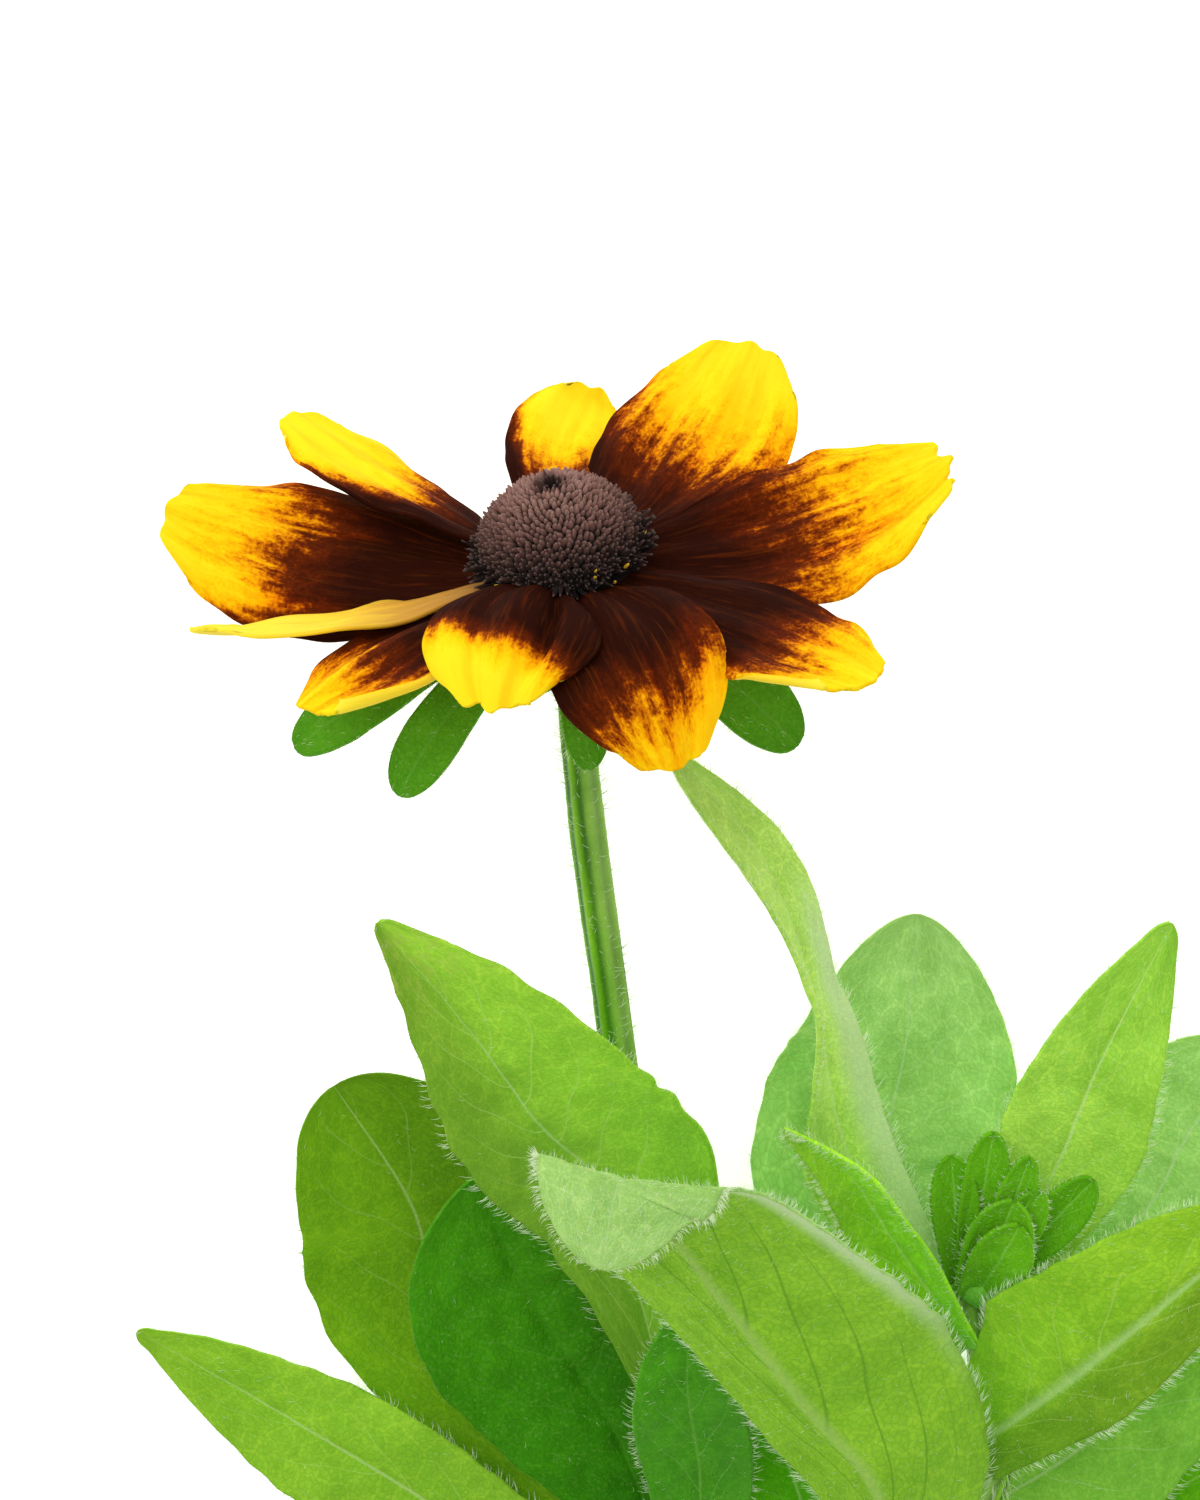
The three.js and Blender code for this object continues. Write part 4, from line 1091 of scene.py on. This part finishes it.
def leaf_material(
    name, tip, root, vein, midrib, length, veins, slant,
    shade=(1, 1), blotch=0, hairs_and_sheen_band=0, net=0.3, mesh=0.3,
    vein_width=0.22, rib=1.0, velvet=0.05, pale_edge=0, line=0.5, gain=1.25,
):
    made, tree, shader = new_material(
        name, Roughness=0.6, Specular_IOR_Level=0.06, Sheen_Weight=velvet, Sheen_Roughness=0.45,
        Sheen_Tint=paint(214, 240, 180), Subsurface_Weight=0.1, Subsurface_Scale=0.0007,
    )
    place, share = attribute(tree, "place"), attribute(tree, "share")
    across, along, _ = parts(tree, share)
    bright_root, bright_tip = (brighter(paint(*c), gain) for c in (root, tip))
    colour = mixed(tree, along, bright_root, bright_tip)
    half = between(tree, across, -0.5, 0.5)
    left, right = ((shade[i],) * 3 + (1.0,) for i in (0, 1))
    colour = mixed(tree, 1.0, colour, mixed(tree, half, left, right), blend="MULTIPLY")
    skin_feeds = {"Colour": colour, "Place": place, "Cells": net, "Net": mesh}
    skin = add(tree, "ShaderNodeGroup", skin_feeds, node_tree=green_skin)
    colour = skin.outputs["Colour"]
    # Painted sheen with the velvet: a pale band where the twisted leaf catches the light.
    if hairs_and_sheen_band:
        rim = times(tree, between(tree, across, 0.1, 0.75), between(tree, along, 0.74, 0.58))
        colour = mixed(tree, times(tree, rim, 0.7), colour, paint(198, 224, 172))
    if pale_edge:
        edge = times(tree, between(tree, across, -0.84, -1.0), between(tree, along, 0.2, 0.45))
        colour = mixed(tree, times(tree, edge, pale_edge), colour, paint(206, 230, 176))
    if blotch:
        stained = between(tree, noise(tree, place, 0.3, 4.0, 0.6), 0.46, 0.66)
        near_tip = times(tree, between(tree, along, 0.8, 0.9), between(tree, along, 0.99, 0.95))
        stained_share = times(tree, stained, times(tree, near_tip, 0.6))
        colour = mixed(tree, stained_share, colour, paint(176, 194, 84))
        spot = between(tree, noise(tree, place, 0.8, 3.0, 0.7), 0.6, 0.72)
        spot_share = times(tree, spot, times(tree, near_tip, 0.8))
        colour = mixed(tree, spot_share, colour, paint(190, 180, 112))
    vein_feeds = {
        "Share": share, "Place": place, "Length": length, "Count": veins, "Slant": slant, "Rib": rib,
        "Width": vein_width,
    }
    lines = add(tree, "ShaderNodeGroup", vein_feeds, node_tree=leaf_veins)
    vein_share = times(tree, lines.outputs["Veins"], line)
    colour = mixed(tree, vein_share, colour, paint(*vein))
    midrib_share = times(tree, lines.outputs["Midrib"], 0.6)
    colour = mixed(tree, midrib_share, colour, paint(*midrib))
    feed(tree, shader, "Base Color", colour)
    feed(tree, shader, "Normal", bump(tree, skin.outputs["Height"], 0.5, 0.00015))
    return made


def lighter(colour, share=0.3):
    return tuple(round(c + (255 - c) * share) for c in colour)


hair_roots = []  # (roots, directions, lengths, widths, droop) of all the leaves' hairs


# %% [markdown]
# Hairs are real bodies: thin, bent, three-sided needles. They fringe the margins and stand on both faces,
# and are long on the stem. Each blade adds its own, and they are all made at the end from one needle.


# %% Helpers for hairs
def blade_hairs(surface, seed, rim, spread, length=(0.7, 1.3), width=0.028, wall=0.2):
    """Hairs along a blade's margins (rim of them) and on its two faces (spread on each)."""
    draw = np.random.default_rng(seed)
    edge = np.where(draw.random(rim) < 0.5, -1.0, 1.0)
    up_edge = draw.uniform(0.04, 1.0, rim) ** 0.9
    right, ahead, normal = facing(surface, edge, up_edge)
    outwards = right * edge[:, None] + ahead * draw.uniform(-0.1, 0.7, (rim, 1))
    outwards += normal * draw.normal(0.15, 0.45, (rim, 1))
    lengths = draw.uniform(*length, rim)
    hair_roots.append((surface(edge, up_edge), outwards, lengths, np.full(rim, width), ahead * 0.35))
    for face in (1, -1):
        across, along = draw.uniform(-0.97, 0.97, spread), draw.uniform(0.02, 0.99, spread)
        right, ahead, normal = facing(surface, across, along)
        leaning = ahead * draw.uniform(0.1, 0.9, (spread, 1))
        standing = normal * face + leaning + right * draw.normal(0, 0.3, (spread, 1))
        lengths = draw.uniform(length[0] * 0.55, length[1] * 0.8, spread)
        roots = surface(across, along) + normal * face * wall * 0.8
        hair_roots.append((roots, standing, lengths, np.full(spread, width * 0.8), ahead * 0.3))


# %% Grow the leaves
LEAF_HAIRS = {
    "leaf_curled_front": (1100, 1200), "leaf_shaded": (0, 60), "leaf_folded_small": (360, 220),
    "leaf_narrow_arched": (420, 260), "leaf_broad_right": (420, 260), "leaf_small_centre": (300, 160),
}
for number, (name, leaf) in enumerate(LEAVES.items(), 20):
    surface, shape, length = leaf_surface(leaf, number)
    piece_name = name.replace("leaf_", "blade_")
    look = dict(length=length, veins=float(shape["veins"]), slant=shape["slant"], rib=shape["rib"])
    vein = lighter(leaf["tip"], 0.28)
    midrib = leaf.get("midrib", lighter(leaf["root"], 0.42))
    front = leaf_material(
        f"{piece_name}_face", leaf["tip"], leaf["root"], vein, midrib, shade=leaf["shade"],
        blotch=leaf.get("blotch", 0), hairs_and_sheen_band=leaf.get("hairs_and_sheen_band", 0), velvet=leaf.get("velvet", 0.05),
        gain=leaf.get("gain", 1.25), line=leaf.get("line", 0.5), **look,
    )
    back_colour = leaf.get("back", lighter(leaf["root"], 0.12))
    back_vein = leaf.get("back_veins", lighter(back_colour, 0.2))
    back_rib = lighter(back_colour, 0.3)
    back = leaf_material(
        f"{piece_name}_back", back_colour, back_colour, back_vein, back_rib, net=0.4,
        pale_edge=leaf.get("pale_edge", 0), line=leaf.get("line", 0.5),
        vein_width=leaf.get("vein_width", 0.22), **look,
    )
    cells = (LEAF_CELLS[0], leaf.get("rows", LEAF_CELLS[1]))
    grown = grow_blade(piece_name, surface, (shape["width"], length), cells, LEAF_THICKNESS, number)
    finish_mesh(grown, [front, back], [name])
    rim, spread = LEAF_HAIRS.get(name, (260, 50))
    blade_hairs(surface, number, rim, spread)
print("leaves grown:", len(LEAVES))

# %% [markdown]
# ## Bracts and the green cup
# Twelve leafy bracts stand round a small cup under the petals. They are blunt blades like small leaves,
# bent back and rolled a little towards the camera, with hairs on their margins and faces. The cup is a
# turned shape, and so is the rim that the petals grow from.

# %% Bracts, cup and rim
BRACTS = [
    (22, 14, (-30, -60), 5), (56, 14, (-30, -60), 5), (90, 13, (-30, -60), 5),
    (124, 14, (-25, -55), 5), (158, 15, (-20, -50), 5), (192, 26.5, (-6, -28), 6.0),
    (212, 22, (-16, -46), 5.4), (240, 8, (-15, -45), 4.6), (268, 15, (-25, -67), 4.4),
    (300, 14, (-15, -45), 5), (331, 23, (-20, -52), 6.6), (354, 14, (-30, -60), 5),
]
BRACT_ROLL = math.radians(32)
BRACT_CELLS = (14, 30)
BRACT_THICKNESS = 0.45
BRACT_RIM_HAIRS, BRACT_FACE_HAIRS = 90, 45
RING_FOOT = -2.6
CUP_TOP = RING_FOOT - 0.6
CUP_FOOT = -6.6
BRACT_GREEN = (79, 147, 25)


def bract_surface(turn, length, rise, width, seed):
    angle = math.radians(turn)
    out = np.array([math.cos(angle), math.sin(angle), 0])
    side = np.array([math.sin(angle), -math.cos(angle), 0])
    towards_viewer = -math.copysign(1, (side @ head_turn.T)[2])
    first, last = (math.radians(x) for x in rise)
    turn_rate = last - first

    def surface(across, along):
        slope = first + turn_rate * along
        reach = 3.6 + length * (np.sin(slope) - math.sin(first)) / turn_rate
        height = CUP_TOP - 1.6 + length * (math.cos(first) - np.cos(slope)) / turn_rate
        up = -out * np.sin(slope)[:, None]
        up[:, 2] = np.cos(slope)
        half = 0.54 * width * leaf_outline(along, 0.58, 0.74, 0.44)
        groove = -0.12 * np.exp(-((across * half / 0.3) ** 2)) * smooth_step(1.0, 0.7, along)
        swell = 0.07 * wander(seed, across * half, along * length, 3)
        lift = 0.12 * half * across ** 2 + groove + swell
        roll = (towards_viewer * BRACT_ROLL * smooth_step(0.1, 0.7, along))[:, None]
        rolled_side = side * np.cos(roll) + up * np.sin(roll)
        rolled_up = up * np.cos(roll) - side * np.sin(roll)
        points = out * reach[:, None]
        points[:, 2] = height
        points += rolled_side * (half * across)[:, None] + rolled_up * lift[:, None]
        return over_table(from_head(points))

    return surface


BRACT_LOOK = dict(length=20.0, veins=4.0, slant=0.5, mesh=0.0)
bract_face = leaf_material(
    "bract_face", BRACT_GREEN, (90, 155, 30), (96, 164, 44), (104, 168, 56), **BRACT_LOOK
)
bract_back = leaf_material(
    "bract_back", (92, 152, 46), (96, 154, 50), (120, 176, 76), (120, 176, 76), **BRACT_LOOK
)
for number, (turn, length, rise, width) in enumerate(BRACTS, 1):
    surface = bract_surface(turn, length, rise, width, number + 60)
    grown = grow_blade(
        f"bract_{number:02d}", surface, (width, length), BRACT_CELLS, BRACT_THICKNESS, number + 60
    )
    finish_mesh(grown, [bract_face, bract_back], ["bracts"])
    blade_hairs(surface, number + 60, BRACT_RIM_HAIRS, BRACT_FACE_HAIRS, (0.5, 1.0))


def turned_piece(name, profile, segments, node_name, material):
    mesh = spun(name, profile, segments)
    points = np.array([v.co[:] for v in mesh.vertices])
    mesh.vertices.foreach_set("co", to_metres(from_head(points)).ravel())
    store(mesh, "place", points + np.array([0, 0, 20.0]))
    store(mesh, "share", np.tile([0.5, 0.3, 0.0], (len(points), 1)))
    store(mesh, "mark", np.tile([0.05, 0.5, 0.4], (len(points), 1)))
    return finish_mesh(bpy.data.objects.new(name, mesh), [material], [node_name])


cup_profile = [
    (0, CUP_FOOT), (2.1, CUP_FOOT), (2.7, CUP_FOOT + 0.4), (3.6, CUP_FOOT + 1.3), (4.6, CUP_FOOT + 2.1),
    (5.3, CUP_TOP - 0.6), (5.8, CUP_TOP), (5.6, CUP_TOP + 0.3), (0, CUP_TOP + 0.3),
]
turned_piece("green_cup", cup_profile, 48, "bracts", bract_back)
rim_profile = [
    (0, CUP_TOP + 0.2), (5.4, CUP_TOP + 0.2), (6.3, RING_FOOT), (6.9, RING_FOOT + 0.8), (7.1, RING_TOP),
    (6.6, RING_TOP + 0.3), (0, RING_TOP + 0.3),
]
turned_piece("petal_rim", rim_profile, 64, "ray_petals", floret_skin)
print("bracts grown:", len(BRACTS))

# %% [markdown]
# ## Stems
# A stem is a tube along a curved line. It starts as a flat grid that is rolled up: one side of the grid
# runs round the stem and the other along it. Seven low ribs run the whole length of the flowering stem, and
# six that of the side shoot, with darker grooves between them.


# %% The flowering stem and the side shoot
def grow_stalk(name, path, radius, ribs, cells, taper, seed):
    grid = bmesh.new()
    bmesh.ops.create_grid(grid, x_segments=cells[0], y_segments=cells[1], size=1.0)
    share = (np.array([v.co.y for v in grid.verts]) + 1) / 2
    angle = np.array([v.co.x for v in grid.verts]) * np.pi
    surface = stalk_surface(path, radius, ribs, taper, seed)
    points = surface(angle, share)
    for vertex, point in zip(grid.verts, to_metres(points)):
        vertex.co = point
    mark = grid.verts.layers.float_vector.new("place")
    rib = grid.verts.layers.float_vector.new("share")
    for vertex, turn, along in zip(grid.verts, angle, share):
        vertex[mark] = (radius * math.cos(turn), along * spine_length(path), seed + radius * math.sin(turn))
        # The third value marks the side of the stem that takes a painted highlight.
        vertex[rib] = (math.cos(ribs * turn), along, math.cos(turn - 2.4))
    bmesh.ops.remove_doubles(grid, verts=grid.verts, dist=1e-6)
    bmesh.ops.holes_fill(grid, edges=[e for e in grid.edges if e.is_boundary])
    bmesh.ops.recalc_face_normals(grid, faces=grid.faces)
    mesh = bpy.data.meshes.new(name)
    grid.to_mesh(mesh)
    grid.free()
    return bpy.data.objects.new(name, mesh), surface


def stalk_surface(path, radius, ribs, taper, seed):
    def surface(angle, share):
        centre, tangent = along_curve(path, share)
        side = unit(np.cross(tangent, [[0.0, 0.0, 1.0]]))
        up = np.cross(side, tangent)
        wobble = 1 + 0.03 * wander(seed, angle * 0 + 1.0, share * spine_length(path), 14)
        width = radius * (taper[0] + (taper[1] - taper[0]) * share) * wobble
        uneven = 0.02 * wander(seed + 3, angle * 3, share * 90, 2)
        reach = width * (0.99 + 0.06 * np.cos(ribs * angle)) + uneven
        return centre + (side * np.cos(angle)[:, None] + up * np.sin(angle)[:, None]) * reach[:, None]

    return surface


STEM_RADIUS = 1.75
STEM_RIBS, SHOOT_RIBS = 7, 6
STEM_HAIRS, SHOOT_HAIRS = 1500, 900
SHOOT_RADIUS = 1.35
under_head = from_head(np.array([[0.0, 0.0, CUP_FOOT + 0.8]]))[0]
STEM_PATH = [
    under_head, [1.9, -22.9, 25.6], [5.1, -49.3, 19.4], [8.1, -72.7, 13.6], [11.4, -101, 7.3],
    [15.2, -135, 1.9],
]
SHOOT_PATH = [
    [13.3, -128, 3.4], [18.6, -123.4, 5.2], [29.4, -117.4, 6.8], [37.5, -109.4, 8.3],
    [43.2, -100.2, 10], [44.5, -93.5, 11.3], [42.6, -86.8, 12.3], [41.4, -78, 14.1],
]


# %% Material: stems
stem_skin, tree, shader = new_material(
    "stem_skin", Roughness=0.5, Specular_IOR_Level=0.2, Sheen_Weight=0.05, Sheen_Roughness=0.4,
    Subsurface_Weight=0.1, Subsurface_Scale=0.0008,
)
place = attribute(tree, "place")
rib_height, _, lit_side = parts(tree, attribute(tree, "share"))
rib_noise = noise(tree, stretched(tree, place, (1.2, 0.12, 1.2)), 1.0, 3.0, 0.6)
rib_level = moved_by(tree, rib_height, rib_noise, 1.6)
ribbed = ramp(
    tree, between(tree, rib_level, -1.2, 1.2, smooth=False),
    [(0.0, paint(40, 96, 2)), (0.4, paint(92, 154, 8)), (1.0, paint(142, 200, 44))],
)
# Painted highlight: the side of the stem that faces the lamp is painted a paler green.
painted_highlight = times(tree, between(tree, lit_side, 0.3, 1.0), 0.55)
stem_colour = mixed(tree, painted_highlight, ribbed, paint(176, 212, 116))
skin_feeds = {"Colour": stem_colour, "Place": place, "Cells": 0.1}
skin = add(tree, "ShaderNodeGroup", skin_feeds, node_tree=green_skin)
feed(tree, shader, "Base Color", skin.outputs["Colour"])
stem_grain = noise(tree, stretched(tree, place, (4.0, 0.5, 4.0)), 1.0, 3.0, 0.6)
feed(tree, shader, "Normal", bump(tree, stem_grain, 0.5, 0.00015))
print("material made:", stem_skin.name)


# %% Grow the stems and their hairs
def stalk_hairs(surface, seed, count, length=(0.8, 1.7)):
    draw = np.random.default_rng(seed)
    angle, share = draw.uniform(-np.pi, np.pi, count), draw.uniform(0.02, 0.99, count)
    roots = surface(angle, share)
    around, ahead = surface(angle + 0.02, share), surface(angle, np.minimum(share + 0.004, 1))
    outwards = unit(np.cross(unit(ahead - roots), unit(around - roots)))
    centre_side = surface(angle + np.pi, share)
    outwards *= np.sign(np.sum(outwards * (roots - centre_side), 1))[:, None]
    forward = unit(ahead - roots)
    tilted = outwards - forward * draw.uniform(0.0, 0.7, (count, 1)) + draw.normal(0, 0.2, (count, 3))
    hair_roots.append((roots, tilted, draw.uniform(*length, count), np.full(count, 0.03), forward * -0.2))


flower_stalk, stem_surface = grow_stalk(
    "flower_stalk", STEM_PATH, STEM_RADIUS, STEM_RIBS, (84, 200), (0.98, 1.04), 4
)
finish_mesh(flower_stalk, [stem_skin], ["stem"])
stalk_hairs(stem_surface, 101, STEM_HAIRS)
leafy_shoot, shoot_surface = grow_stalk(
    "leafy_shoot", SHOOT_PATH, SHOOT_RADIUS, SHOOT_RIBS, (60, 110), (1.05, 0.95), 5
)
finish_mesh(leafy_shoot, [stem_skin], ["side_shoot"])
stalk_hairs(shoot_surface, 102, SHOOT_HAIRS)
print("stems grown")

# %% [markdown]
# ## Young leaves
# The side shoot ends in a tuft of young leaves, small, blunt and cupped, on a green knob.

# %% Young leaves and knob
CROWN = np.array([41.7, -76.4, 15.2])
YOUNG_CELLS = (14, 24)
YOUNG_THICKNESS = 0.5
YOUNG_RIM_HAIRS, YOUNG_FACE_HAIRS = 90, 60
KNOB_RADIUS = 1.9
YOUNG_LEAVES = [
    ([40, -76, 13.8], [38.6, -62.3, 16.5], 4.8), ([40.5, -75.5, 13.8], [42.8, -59.8, 17], 4.6),
    ([42, -75.5, 14.5], [46.4, -62.2, 17.6], 3.8), ([42, -76, 14.8], [47.6, -65.5, 18], 4.2),
    ([41, -77, 15], [44.8, -66.3, 19.2], 6.6), ([41, -77.5, 15.2], [45.3, -68.6, 20], 6),
    ([42.6, -76, 14], [53, -65, 15.6], 5), ([42.5, -76, 13.6], [50.3, -68.2, 14.6], 4.8),
]


def young_surface(root, tip, width, seed):
    start, end = np.array(root, float), np.array(tip, float)
    ahead = end - start
    side = unit(np.array([ahead[1], -ahead[0], 0]))
    up = unit(np.cross(side, ahead))

    def surface(across, along):
        half = width / 2 * leaf_outline(along, 0.6, 0.68, 0.42)
        groove = 0.12 * np.exp(-((across * half / 0.3) ** 2))
        lift = 0.35 * half * across ** 2 + 0.9 * np.sin(np.pi * along) - groove
        lift = lift + 0.05 * wander(seed, across * half, along * 12, 2.5)
        points = start + ahead * along[:, None] + side * (half * across)[:, None]
        return points + up * lift[:, None]

    return surface


YOUNG_LOOK = dict(length=13.0, veins=4.0, slant=0.4, mesh=0.0)
young_face = leaf_material(
    "young_face", (96, 166, 18), (112, 177, 29), (130, 196, 66), (140, 204, 84), **YOUNG_LOOK
)
young_back = leaf_material(
    "young_back", (110, 180, 56), (120, 186, 70), (140, 196, 90), (140, 196, 90), **YOUNG_LOOK
)
for number, (root, tip, width) in enumerate(YOUNG_LEAVES, 1):
    surface = young_surface(root, tip, width, number + 80)
    length = float(np.linalg.norm(np.subtract(tip, root)))
    grown = grow_blade(
        f"young_leaf_{number:02d}", surface, (width, length), YOUNG_CELLS, YOUNG_THICKNESS, number + 80
    )
    finish_mesh(grown, [young_face, young_back], ["young_leaves"])
    blade_hairs(surface, number + 80, YOUNG_RIM_HAIRS, YOUNG_FACE_HAIRS, (0.4, 0.8))

knob = bmesh.new()
bmesh.ops.create_icosphere(knob, subdivisions=3, radius=1.0)
knob_mesh = bpy.data.meshes.new("shoot_knob")
knob.to_mesh(knob_mesh)
knob.free()
ball = np.array([v.co[:] for v in knob_mesh.vertices])
swollen = ball * (KNOB_RADIUS + 0.12 * wander(7, ball[:, 0] * 3, ball[:, 1] * 3 + ball[:, 2], 2.0))[:, None]
knob_mesh.vertices.foreach_set("co", to_metres(swollen + CROWN).ravel())
store(knob_mesh, "place", swollen + 30)
store(knob_mesh, "share", np.tile([0.5, 0.3, 0.0], (len(ball), 1)))
finish_mesh(bpy.data.objects.new("shoot_knob", knob_mesh), [young_back], ["young_leaves"])
print("young leaves grown:", len(YOUNG_LEAVES))

# %% [markdown]
# ## Hairs
# All the collected hairs are copies of one bent needle. Their material is a pale, slightly green white with
# a little unevenness, as hairs that let light through have, and a faint glow that is painted light shining
# through them.

# %% Grow the hairs
# The faint emission is painted light: the glow of light shining through the hairs.
hair_skin, tree, shader = new_material(
    "hair_skin", Roughness=0.4, Specular_IOR_Level=0.3, Emission_Color=(0.75, 0.9, 0.6, 1),
    Emission_Strength=0.12,
)
hair_place = add(tree, "ShaderNodeTexCoord").outputs["Object"]
hair_stops = [(0.3, paint(212, 236, 180)), (0.7, paint(242, 250, 224))]
feed(tree, shader, "Base Color", ramp(tree, noise(tree, hair_place, 500.0, 1.0), hair_stops))
needle = template((1.0, 0.75, 0.25), 3)
roots, directions, lengths, widths, droops = (np.concatenate(column) for column in zip(*hair_roots))
above = np.maximum(roots[:, 2], 0.2)
roots = np.column_stack([roots[:, :2], above])
low = (roots[:, 2] < 2.0) & (directions[:, 2] < 0)
directions[low, 2] *= -0.4
HALF = len(roots) // 2
for label, chosen in (("hairs_upper", slice(0, HALF)), ("hairs_lower", slice(HALF, None))):
    hairs = scattered(
        label, needle, roots[chosen], directions[chosen], lengths[chosen], widths[chosen], droops[chosen]
    )
    finish_mesh(hairs, [hair_skin], [])
    print(label, "triangles:", len(hairs.data.polygons))
